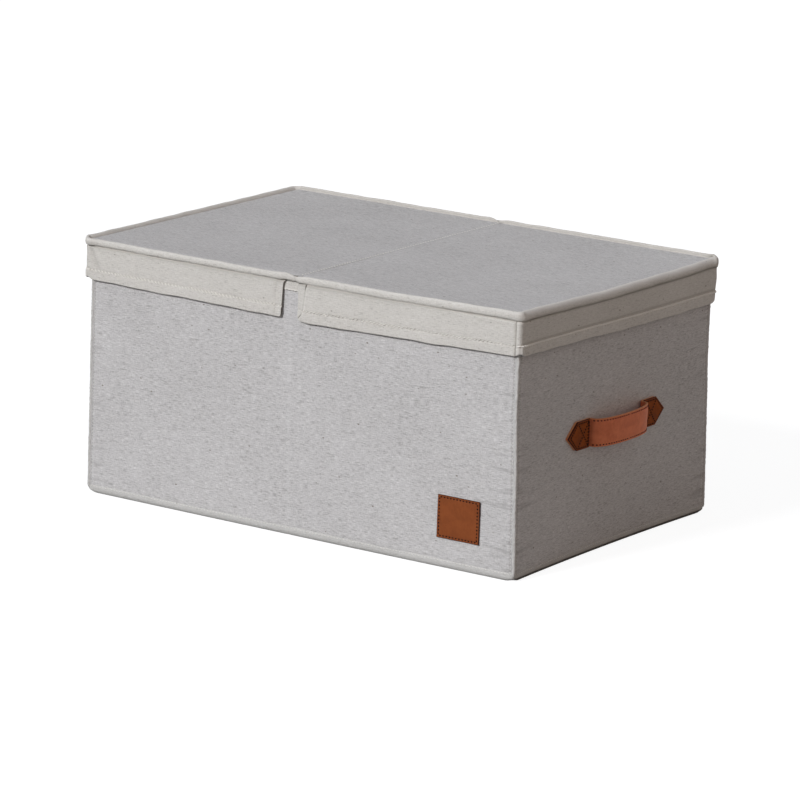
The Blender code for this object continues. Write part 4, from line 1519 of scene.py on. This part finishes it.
    def skirt_relief(self, run: Array, height: Array) -> Array:
        """How far the skirt's outer face stands proud of its path.

        It is the sum of slow waves that grow downwards, the fuller hem below its sewn line, the
        line's groove with slanting drag ripples beside it, the ridges beside each sewn corner, the
        flare or press of the free lips, the sewn fold of each lip and one soft slanting wrinkle.

        Args:
            run: Lengths along the path.
            height: Heights.

        Returns:
            The relief.
        """
        top, drop, above = self.sizes.skirt_top, self.drop(height), height - self.seam
        first, last, below = self.band.first, self.band.last, -above / self.hem
        end = self.band.on_end(run)
        relief = 0.34 * wander(run, 95, self.seed + 11) * (0.15 + drop)
        relief = relief + 0.14 * drift(run, height, 30, self.seed + 12)
        relief = relief + 0.35 * ease(below * 8) * (0.6 + 0.4 * np.sin(np.pi * np.clip(below, 0, 1)))
        relief = relief + 0.8 * end * ease(below * 10) * ease((last - run) / 30)
        relief = relief - (0.45 - 0.35 * end) * bell(above, 1.1)
        relief = relief + 0.3 * bell(height - top + 3, 2.5) - 2.2 * ease((height - top + 1.6) / 1.8)
        ripple = np.sin(2 * np.pi * (run + 1.1 * above) / 4.3 + 1.5 * wander(run, 30, self.seed + 13))
        relief = relief + 0.24 * ripple * bell(above, 3.4) * (1 - 0.8 * end)
        for away, sewn in ((first - run, 0.2 if self.left else 1.0), (run - last, 1.0)):
            relief = relief + sewn * bumps(away - self.corner_split, *self.seam_relief)
            relief = relief + bumps(away, (0.3, 1.2, 1.6), (-0.3 * sewn, -4.4, 1.2), (0.2, -7, 1.6))
        for free in self.lips(run):
            near = np.maximum(free, 0)
            fold = self.lip_fold(near, height)
            if self.left:
                relief = relief - (1.7 - drop) * bell(near, 8)
                relief = relief + 0.18 * ease(-fold / 1.2) - 0.25 * bell(fold, 0.8)
            else:
                relief = relief - 2 * bell(near, 7) - 0.35 * ease(-fold / 0.7) - 0.6 * bell(fold, 0.6)
        across, strength = self.wrinkle(run, height)
        relief = relief + strength * bumps(across, *self.wrinkle_relief)
        if self.left:
            return relief + 4.6 * ease((run - first + 2) / 8) * bell(run - first - 9, 60)
        return relief + 1.2 * bell(drop - 0.35, 0.28) * bell(last - 4 - run, 30)

    def skirt_rub(self, run: Array, height: Array) -> Array:
        """Where the skirt has painted light and shade.

        On the ends it has a painted highlight along the hem's sewn line and painted shade above it, with
        the cloth below a little paler than above; at the front and back it has painted shade along that
        line. It has a painted shadow under the piping and painted shade in the sewn corners, at the left
        lips' edges, along each lip's fold, deepest in two dashes on the mitred folds with a painted
        highlight beside them, in the wrinkle, with a painted highlight on its ridge, and past the right
        half's back corner.

        Args:
            run: Lengths along the path.
            height: Heights.

        Returns:
            From -2 for painted deep shade, by -1 for painted shade, to 1 for a painted highlight.
        """
        above, drop, end = height - self.seam, self.drop(height), self.band.on_end(run)
        painted_light_and_marks = end * (bumps(above, *self.hem_wear) + 0.1 * ease(-above / 2) - 0.1)
        painted_light_and_marks = painted_light_and_marks - 0.12 * (1 - end) * bell(above, 2.4)
        under = self.sizes.skirt_top - 0.3 - self.sag(self.band, run)
        painted_light_and_marks = painted_light_and_marks - (0.8 + 0.4 * end) * ease((height - under + 1.9) / 1.7)
        for away, sewn in ((self.band.first - run, 0.0 if self.left else 0.7), (run - self.band.last, 0.7)):
            painted_light_and_marks = painted_light_and_marks - sewn * bell(away - self.corner_split, 0.7)
        stroke = np.maximum(bell(drop - 0.11, 0.085), bell(drop - 0.87, 0.08))
        for free in self.lips(run):
            fold = self.lip_fold(free, height)
            if self.left:
                painted_light_and_marks = painted_light_and_marks - 0.2 * bell(fold, 0.6) - 2.2 * ease(drop * 8) * bell(free, 0.5)
            else:
                painted_light_and_marks = painted_light_and_marks - (0.5 + 1.5 * stroke) * bell(fold, 0.75)
                painted_light_and_marks = painted_light_and_marks + 0.5 * (1 - stroke) * bell(fold - 1.7, 0.9)
        if not self.left:
            painted_light_and_marks = painted_light_and_marks - 1.2 * ease((run - self.band.last) / 2) * bell(run - self.band.last - 3, 6)
        across, strength = self.wrinkle(run, height)
        return np.clip(painted_light_and_marks + strength * bumps(across, *self.wrinkle_wear), -2, 1)

    def hang(self, run: Array) -> tuple[Array, Array]:
        """Work out the line of the skirts' foot.

        Args:
            run: Lengths along the path.

        Returns:
            How far the foot hangs below its level place, and how far the corners are rounded up.
        """
        first, last = self.band.first, self.band.last
        share, front = np.clip((run - first) / (last - first), 0, 1), np.clip(run / first, 0, 1)
        if self.left:
            hang = np.where(run < first, 1.0 - 2.7 * front, -1.7 * (1 - share))
        else:
            hang = np.where(run < first, 2.6 - 5.4 * front, -2.8 + 4.6 * ease(share * 1.3))
            hang = np.where(run > last, 1.8 * bell(run - last, 60), hang)
        return hang, 2.6 * (bell(run - first, 3.6) + bell(run - last, 3.6))

    def shaped(self, run: Array, height: Array) -> tuple[Array, Array]:
        """Shift the free lips, which lean at the top and are round below, and wave the foot.

        Args:
            run: Lengths along the path.
            height: Heights.

        Returns:
            The shifted lengths and heights.
        """
        foot, drop, flare = self.sizes.skirt_foot, self.drop(height), self.lip_flare
        rounding = 3.0 if self.left else 5.0
        shift = rounding * (1 - np.sqrt(1 - np.clip(1 - (height - foot) / rounding, 0, 1) ** 2))
        if self.left:
            top = np.clip(1 - (self.sizes.skirt_top + 0.5 - height) / flare, 0, 1)
            shift = shift - flare * (1 - np.sqrt(1 - top ** 2)) + ease(drop * 4) + 1.3 * drop
        left, right = (bell(np.maximum(free, 0), 14) for free in self.lips(run))
        hang, corners = self.hang(run)
        wave = 0.4 * wander(run, 64, self.seed + 14) * ease((foot + 14 - height) / 14)
        level = height + wave - hang * drop + corners * ease((foot + 7 - height) / 7)
        return run + shift * (left - right), level

    def skirt_outer(self, run: Array, height: Array) -> Array:
        """The outer face: the path plus the relief."""
        place, level = self.shaped(run, height)
        return self.band.at(place, self.skirt_relief(run, height), level)

    def skirt_inner(self, run: Array, height: Array) -> Array:
        """The inner face: the path moved in by the thickness, with what moves the whole cloth."""
        relief = self.skirt_relief(run, height)
        thick = self.sizes.skirt_outer - self.sizes.skirt_inner
        behind = np.minimum(0.25 - thick + 0.8 * np.clip(relief, -0.3, None), relief - 0.55)
        place, level = self.shaped(run, height)
        return self.band.at(place, np.maximum(behind, -3), level)

    def build_skirts(self) -> None:
        """Make the three skirts and their stitches."""
        sizes, band, word = self.sizes, self.band, self.hand.word
        near_seam = band.first + (self.corner_split if self.left else -self.corner_split)
        far_seam, gap = band.last + self.corner_split, 0.03
        spans = {
            "front": (self.lip, near_seam - gap),
            "end": (near_seam + gap, far_seam - gap),
            "back": (far_seam + gap, band.length - self.lip),
        }
        v = stations(sizes.skirt_foot, sizes.skirt_top + 1.6, 1.2, (self.seam, 2.5, 0.3))
        fine = [(at, 8, 0.6) for at in (band.first, band.last)]
        fine += [(at, 12, 0.4) for at in (self.lip, band.length - self.lip)]
        facing = {"front": Side.FRONT.out, "end": Side.RIGHT.out * self.hand.value, "back": Side.BACK.out}
        fine_stitch = replace(HEM_STITCH, lean=HEM_STITCH.lean * self.hand.value)
        for part, (start, end) in spans.items():
            u = stations(start, end, 1.5 if part != "end" else 2.4, *fine)
            edges = (*(0.7 if part == free else 0.3 for free in ("front", "back")), 0.8, 0.5)
            shell = slab(self.skirt_outer, self.skirt_inner, u, v, edges, self.skirt_rub)
            skirt = make_piece(f"lid_hanging_skirt_{word}_{part}", [shell], CREAM, self.body,
                               [f"lid_skirt_{word}_{part}"])
            # On the right half's end the hem stitches are bigger, and their thread is the paler copy, a
            # painted highlight.
            heavy = part == "end" and not self.left
            sewing, thread = (HEAVY_HEM_STITCH, PAINTED_HIGHLIGHT_THREAD) if heavy else (fine_stitch, CREAM_THREAD)
            line = np.linspace(start + 2, end - 2, 900)
            row = sewing.follow(self.skirt_outer, line, self.seam, facing[part])
            make_piece(f"hem_stitches_{word}_{part}", [row], thread, self.body)

    def build(self) -> None:
        """Make every piece of this half."""
        self.build_cover()
        self.build_lining()
        self.build_piping()
        self.build_skirts()


@dataclass
class Lid:
    """The whole lid: its two halves and the sewn crease between them."""

    sizes: BoxSizes
    tuck_half: float = 1.1
    tuck_top: float = 0.12

    def sway(self, y: Array) -> Array:
        """How far the crease strays from the middle on its way back."""
        return 0.25 * wander(y, 80, 21)

    def ridge(self, x: Array, y: Array) -> Array:
        """The top of the ridge along the crease."""
        x, y = np.broadcast_arrays(x, y)
        return np.stack([x + self.sway(y), y, np.full_like(y, self.sizes.cover_top + self.tuck_top)], axis=-1)

    def build_crease(self) -> None:
        """Make the sewn tuck along the crease: a low rounded ridge with a row of stitches."""
        side = self.sizes.half_width + 0.2
        y = stations(-side, side, 3, edge=0.4)
        section = oval(1, 1, 2.0, 14)
        wide = self.tuck_half * (1 + 0.1 * wander(y, 14, 22))
        x = self.sway(y)[:, None] + wide[:, None] * section[:, 0]
        z = self.sizes.cover_top - 0.08 + 0.22 * section[:, 1]
        rings = np.stack([x, np.broadcast_to(y[:, None], x.shape), np.broadcast_to(z, x.shape)], axis=-1)
        shell = roll(rings, y, travelled(section * 0.7), False, np.full(x.shape, 0.3))
        make_piece("lid_crease_tuck", [shell], CANVAS, "lid_crease", ["lid_crease_strip"])
        row = CREASE_STITCH.follow(self.ridge, 0.0, np.linspace(2 - side, side - 2, 500), UP)
        make_piece("lid_crease_stitches", [row], CREAM_THREAD, "lid_crease")

    def build(self) -> None:
        """Make both halves and the crease."""
        for hand in Hand:
            LidHalf(self.sizes, hand).build()
        self.build_crease()


# Leather


@dataclass
class Handle:
    """One end's leather handle: a strap bowed out from the wall and a pointed tab over each end of it."""

    sizes: BoxSizes
    hand: Hand
    height: float = 122.0
    half_strap: float = 14.0
    thickness: float = 2.2
    half_span: float = 47.0
    reach: float = 17.5
    bend_radius: float = 2.5
    fullness: float = 2.4
    flat_out: float = 1.4
    shoulder: float = 71.5
    tip: float = 87.5
    tab_inner: float = 49.5
    tab_half: float = 14.25
    tab_seat: float = 2.8
    tab_thickness: float = 1.6
    strap_inset: float = 2.1
    tab_inset: float = 2.2

    def __post_init__(self) -> None:
        """Walk half the strap's middle line: a superellipse arch, a tight bend and the flat end."""
        start = self.flat_out + self.bend_radius
        turn = np.linspace(np.pi / 2, 0, 60)
        power = 2 / self.fullness
        arch = np.stack([self.half_span * np.clip(np.cos(turn), 0, 1) ** power,
                         start + (self.reach - start) * np.clip(np.sin(turn), 0, 1) ** power], 1)
        arch[0] = (0, self.reach)
        bend = np.linspace(0, np.pi / 2, 12)[1:]
        foot = [self.tab_inner, start] - self.bend_radius * np.stack([np.cos(bend), np.sin(bend)], 1)
        line = np.concatenate([arch, foot, [[self.tip, self.flat_out]]])
        run = travelled(line)
        self.total = float(run[-1])
        self.dense = np.linspace(0, self.total, 1600)
        self.line = np.stack([np.interp(self.dense, run, column) for column in line.T], 1)
        soft = np.ones(25) / 25
        slope = unit(np.stack([np.convolve(np.pad(column, 12, mode="edge"), soft, mode="valid")
                               for column in np.gradient(self.line, axis=0).T], 1))
        self.normal = np.stack([-slope[:, 1], slope[:, 0]], 1)
        self.normal[0] = (0, 1)

    def place(self, facing: int, along: Array, out: Array, height: Array) -> Array:
        """Points from a distance along the wall towards one face, a distance out and a height."""
        wall = self.hand.value * (self.sizes.half_length + out)
        return np.stack(np.broadcast_arrays(wall, facing * along, height), axis=-1)

    def strap_face(self, facing: int, out: float, run: Array, across: Array) -> Array:
        """One face of the strap's half.

        The place across is scaled down past the tab's shoulder, so that the end is pointed. The outer
        face is crowned, with a pressed groove where each long edge is sewn.

        Args:
            facing: The sign of Y on this half.
            out: The distance from the strap's middle line.
            run: Lengths from the crest.
            across: Places across.

        Returns:
            The points.
        """
        run, across = np.broadcast_arrays(run, across)
        walked = (*self.line.T, *self.normal.T)
        along, away, n_along, n_away = (np.interp(run, self.dense, column) for column in walked)
        n_along, along = np.where(run < 0, 0, n_along), np.where(run < 0, run, along)
        point = np.clip((self.tip + 0.6 - along) / (self.tip - self.shoulder), 0.05, 1)
        rim = self.half_strap - np.abs(across)
        free = ease((self.tab_inner - along) / 3)
        swell = 0.16 * (1 - (across / self.half_strap) ** 2) - 0.2 * bell(rim - self.strap_inset, 0.6)
        lift = out + (free * swell if out > 0 else 0)
        wave = free * 0.25 * np.sin(np.pi * across / self.half_strap) * np.sin(np.pi * run / self.total * 1.3)
        return self.place(facing, along + n_along * lift, away + n_away * lift + wave,
                          self.height + across * np.where(along > self.shoulder, point, 1.0))

    def tab_rim(self, along: Array, across: Array) -> tuple[Array, Array]:
        """The share of its width that a tab has at a place along it, and the distance from its edge."""
        narrow = np.clip((self.tip - along) / (self.tip - self.shoulder), 0.02, 1)
        return narrow, np.minimum((self.tab_half - np.abs(across)) * narrow, along - self.tab_inner)

    def tab_face(self, facing: int, out: float, along: Array, across: Array) -> Array:
        """One face of a tab: flat, a little plump between its sewn lines, pointed past the shoulder.

        Args:
            facing: The sign of Y on this half.
            out: The distance from the tab's middle.
            along: Places along the wall.
            across: Places across, before the tab narrows.

        Returns:
            The points.
        """
        along, across = np.broadcast_arrays(along, across)
        narrow, rim = self.tab_rim(along, across)
        plump = -0.22 * bell(rim - self.tab_inset, 0.6) + 0.1 * ease((rim - 3) / 3)
        plump = plump - 0.35 * bell(np.maximum(rim, 0), 1)
        lift = self.tab_seat + self.tab_thickness / 2 + out + (plump if out > 0 else 0)
        return self.place(facing, along, lift, self.height + across * narrow)

    def strap_rub(self, run: Array, across: Array) -> Array:
        """The strap's cut edges."""
        return ease(1.15 - (self.half_strap - np.abs(across)) / 0.75) * np.ones_like(run)

    def tab_rub(self, along: Array, across: Array) -> Array:
        """A tab's dark cut edges and sewn line."""
        rim = self.tab_rim(along, across)[1]
        return np.maximum(ease(1.25 - rim / 0.7), 0.5 * bell(rim - self.tab_inset, 0.55))

    def build_strap_half(self, facing: int, word: str) -> None:
        """Make the strap from its crest to one tab's tip, and the stitches along its edges.

        Args:
            facing: The sign of Y on this half.
            word: The face's name.
        """
        side, half = self.hand.word, self.thickness / 2
        outer, inner = partial(self.strap_face, facing, half), partial(self.strap_face, facing, -half)
        u = stations(0, self.total, 1.6, (self.half_span + 9, 8, 0.5), edge=0.03)
        v = stations(-self.half_strap, self.half_strap, 1.1, edge=0.08)
        bend = Bend("tub", f"{side}_strap", (0, facing * 46, 0), (0, facing * 24, 0))
        shell = slab(outer, inner, u, v, (0.03, 0.5, 0.6, 0.6), self.strap_rub)
        make_piece(f"{side}_leather_strap_{word}", [shell], STRAP_LEATHER, bend,
                   [f"{side}_strap_end_{word}", f"{side}_handle_strap"])
        us, seam = np.linspace(1.2, self.half_span + 4, 300), self.half_strap - self.strap_inset
        out = np.array([self.hand.value, facing * 0.2, 0])
        rows = [STRAP_STITCH.follow(outer, us, way * seam, out) for way in (-1, 1)]
        make_piece(f"{side}_strap_stitches_{word}", rows, BROWN_THREAD, bend)

    def build_tab(self, facing: int, word: str) -> None:
        """Make one tab with its sewn outline, its double inner row and the cross inside.

        Args:
            facing: The sign of Y on this half.
            word: The face's name.
        """
        side, half, inset = self.hand.word, self.tab_thickness / 2, self.tab_inset
        outer, inner = partial(self.tab_face, facing, half), partial(self.tab_face, facing, -half)
        u = stations(self.tab_inner, self.tip, 0.9, (self.shoulder, 1, 0.3),
                     (self.tab_inner + inset, 1.2, 0.3), edge=0.1)
        v = stations(-self.tab_half, self.tab_half, 0.7,
                     *[(way * (self.tab_half - inset), 1, 0.3) for way in (-1, 1)], edge=0.1)
        shell = slab(outer, inner, u, v, rub=self.tab_rub)
        make_piece(f"{side}_leather_tab_{word}", [shell], TAB_LEATHER, "tub", [f"{side}_handle_tab_{word}"])
        near, shoulder, top, far = self.tab_inner + 2, self.shoulder, self.tab_half - inset, self.tip - 3.4
        lines = [
            ((near, -top), (near, top)),
            ((near + 1.7, -top), (near + 1.7, top)),
            ((near, top), (shoulder, top)),
            ((near, -top), (shoulder, -top)),
            ((shoulder, top), (far, 0)),
            ((shoulder, -top), (far, 0)),
            ((near + 2, top - 1), (shoulder - 1, 1 - top)),
            ((near + 2, 1 - top), (shoulder - 1, top - 1)),
        ]
        rows = []
        for start, end in lines:
            along, height = (np.linspace(first, last, 60) for first, last in zip(start, end))
            across = height / self.tab_rim(along, height)[0]
            rows.append(TAB_STITCH.follow(outer, along, across, Side.RIGHT.out * self.hand.value))
        make_piece(f"{side}_tab_stitches_{word}", rows, BROWN_THREAD, "tub")

    def build(self) -> None:
        """Make both halves of the strap and both tabs."""
        for facing, word in ((-1, "front"), (1, "back")):
            self.build_strap_half(facing, word)
            self.build_tab(facing, word)


@dataclass
class Patch:
    """The bare leather patch on the front, sewn down near its edges."""

    tub: Tub
    stitch_inset: float = 2.2

    def __post_init__(self) -> None:
        """Read its place and size off the CAD node."""
        low, high = node_box("leather_patch")
        self.middle, self.half = (low + high) / 2, (high - low) / 2
        self.seat = high[1]

    def rim(self, x: Array, z: Array) -> Array:
        """The distance from the patch's edge."""
        return np.minimum(self.half[0] - np.abs(x), self.half[2] - np.abs(z))

    def face(self, out: float, x: Array, z: Array) -> Array:
        """The patch's front or back: plump in the middle, pressed down at the sewn line.

        Args:
            out: How far the face is out from the wall.
            x, z: Places from the patch's middle.

        Returns:
            The points.
        """
        x, z = np.broadcast_arrays(x, z)
        rim = self.rim(x, z)
        lift = 0.25 * ease(rim / 9) - 0.3 * bell(rim - self.stitch_inset, 0.7) + 0.12 * drift(x, z, 26, 301)
        y = self.seat - out - lift * (out > self.half[1])
        return self.tub.settle(np.stack([x + self.middle[0], y, z + self.middle[2]], axis=-1))

    def rub(self, x: Array, z: Array) -> Array:
        """The dark cut edges and the sewn line."""
        rim = self.rim(x, z)
        return np.maximum(ease(1.2 - rim / 0.8), 0.42 * bell(rim - self.stitch_inset, 0.5))

    def build(self) -> None:
        """Make the patch and its stitches."""
        front, back = partial(self.face, 2 * self.half[1]), partial(self.face, 0.1)
        halves = self.half[[0, 2]]
        side, top = seams = halves - self.stitch_inset
        u, v = (stations(-reach, reach, 1.2, (-seam, 1, 0.3), (seam, 1, 0.3), edge=0.1)
                for reach, seam in zip(halves, seams))
        make_piece("sewn_leather_patch", [slab(front, back, u, v, (0.6,) * 4, self.rub)], PATCH_LEATHER,
                   "tub", ["leather_patch"])
        xs, zs = np.linspace(-side, side, 80), np.linspace(-top, top, 80)
        rows = [PATCH_STITCH.follow(front, xs, way * top, Side.FRONT.out) for way in (-1, 1)]
        rows += [PATCH_STITCH.follow(front, way * side, zs, Side.FRONT.out) for way in (-1, 1)]
        make_piece("patch_stitches", rows, BROWN_THREAD, "tub")


# The studio, in metres


@dataclass
class Studio:
    """The pale floor, the soft lights and the camera at the photograph's angle."""

    eye: Triple = (2.59453, -3.89592, 1.22396)
    right: Triple = (0.827188, 0.560748, 0.036351)
    down: Triple = (0.159968, -0.172977, -0.971848)
    forward: Triple = (-0.538674, 0.809717, -0.232786)
    focal_share: float = 4860.6 / 800
    sensor: float = 36.0
    floor_half: float = 12.0
    floor_white: float = 0.9
    world_level: float = 0.2

    def build_camera(self) -> None:
        """Place the camera from its three directions, with no shift and no depth of field."""
        data = bpy.data.cameras.new("photo_camera")
        data.sensor_fit = "HORIZONTAL"
        data.sensor_width = self.sensor
        data.lens = self.focal_share * self.sensor
        data.clip_start, data.clip_end = 0.05, 60
        camera = bpy.data.objects.new("photo_camera", data)
        bpy.context.collection.objects.link(camera)
        turn = Matrix((self.right, [-d for d in self.down], [-f for f in self.forward])).transposed()
        camera.matrix_world = Matrix.Translation(self.eye) @ turn.to_4x4()
        bpy.context.scene.camera = camera

    def build_floor(self) -> None:
        """Make the floor, which keeps the shadow and looks white to the camera and in reflections."""
        nodes = Nodes("pale_floor")
        grain = nodes.noise(nodes.space_place(), (30, 30, 30), 3)
        pale = nodes.mix(grain, (0.29, 0.29, 0.29), (0.31, 0.31, 0.31))
        nodes.tree.links.new(pale, nodes.shader.inputs["Base Color"])
        nodes.shader.inputs["Roughness"].default_value = 0.95
        nodes.shader.inputs["Specular IOR Level"].default_value = 0.0
        path = nodes.add("LightPath").outputs
        seen = nodes.math("ADD", path["Is Camera Ray"], path["Is Glossy Ray"])
        seen = nodes.math("ADD", seen, path["Is Transmission Ray"], clamp=True)
        white = nodes.math("MULTIPLY", seen, self.floor_white)
        glow = nodes.add("Emission", {"Color": (1, 1, 1, 1), "Strength": white})
        total = nodes.add("AddShader", {0: nodes.shader.outputs[0], 1: glow.outputs[0]})
        nodes.tree.links.new(total.outputs[0], nodes.tree.nodes["Material Output"].inputs[0])
        mesh = bpy.data.meshes.new("studio_floor")
        signs = ((-1, -1), (1, -1), (1, 1), (-1, 1))
        corners = [(x * self.floor_half, y * self.floor_half, 0) for x, y in signs]
        mesh.from_pydata(corners, [], [(0, 1, 2, 3)])
        mesh.materials.append(nodes.material)
        floor = bpy.data.objects.new("studio_floor", mesh)
        bpy.context.collection.objects.link(floor)

    def lamp(self, name: str, way: Triple, strength: float, colour: Colour, angle: float) -> None:
        """Add a wide soft sun.

        Args:
            name: Its name.
            way: The direction that its light travels.
            strength: Its strength.
            colour: Its colour.
            angle: How wide it looks, in radians.
        """
        data = bpy.data.lights.new(name, "SUN")
        data.energy, data.color, data.angle = strength, colour, angle
        lamp = bpy.data.objects.new(name, data)
        lamp.rotation_mode = "QUATERNION"
        lamp.rotation_quaternion = Vector(way).to_track_quat("-Z", "Y")
        bpy.context.collection.objects.link(lamp)

    def build_lights(self) -> None:
        """Light the front most, the top less and the right end least, as in the photograph."""
        self.lamp("key_from_front_left", (0.2, 0.83, -0.52), 2.22, (0.965, 0.97, 1.0), 0.22)
        self.lamp("fill_from_above", (0.05, 0.2, -1.0), 0.09, (0.1, 0.42, 1.0), 0.9)
        self.lamp("warm_from_right", (-0.95, 0.1, -0.13), 0.365, (1.0, 0.64, 0.43), 1.2)
        world = bpy.data.worlds.new("studio_world")
        world.use_nodes = True
        tree = world.node_tree
        path = tree.nodes.new("ShaderNodeLightPath").outputs
        seen = path["Is Camera Ray"]
        for kind in ("Is Glossy Ray", "Is Transmission Ray"):
            either = tree.nodes.new("ShaderNodeMath")
            either.operation = "MAXIMUM"
            tree.links.new(seen, either.inputs[0])
            tree.links.new(path[kind], either.inputs[1])
            seen = either.outputs[0]
        level = tree.nodes.new("ShaderNodeMapRange")
        level.inputs[3].default_value = self.world_level
        level.inputs[4].default_value = 1.0
        tree.links.new(seen, level.inputs[0])
        tree.links.new(level.outputs[0], tree.nodes["Background"].inputs["Strength"])
        tree.nodes["Background"].inputs["Color"].default_value = (1, 1, 1, 1)
        bpy.context.scene.world = world

    def build(self) -> None:
        """Set up camera, floor, lights and the plain view transform."""
        self.build_camera()
        self.build_floor()
        self.build_lights()
        bpy.context.scene.view_settings.view_transform = "Standard"


def dress_boards() -> None:
    """Give the boards that stay as CAD nodes their pressed-paper material."""
    for name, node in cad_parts.items():
        if "board" in name:
            for slot in node.material_slots:
                slot.material = BOARD.material()


def main() -> None:
    """Build the studio and every sub-assembly."""
    logging.basicConfig(level=logging.INFO, format="%(name)s: %(message)s")
    sizes = BoxSizes.from_frame()
    tub = Tub(sizes)
    for part in (Studio(), tub, Patch(tub), LoosePad(), Lid(sizes), *(Handle(sizes, hand) for hand in Hand)):
        part.build()
    dress_boards()


if __name__ == "__main__":
    main()
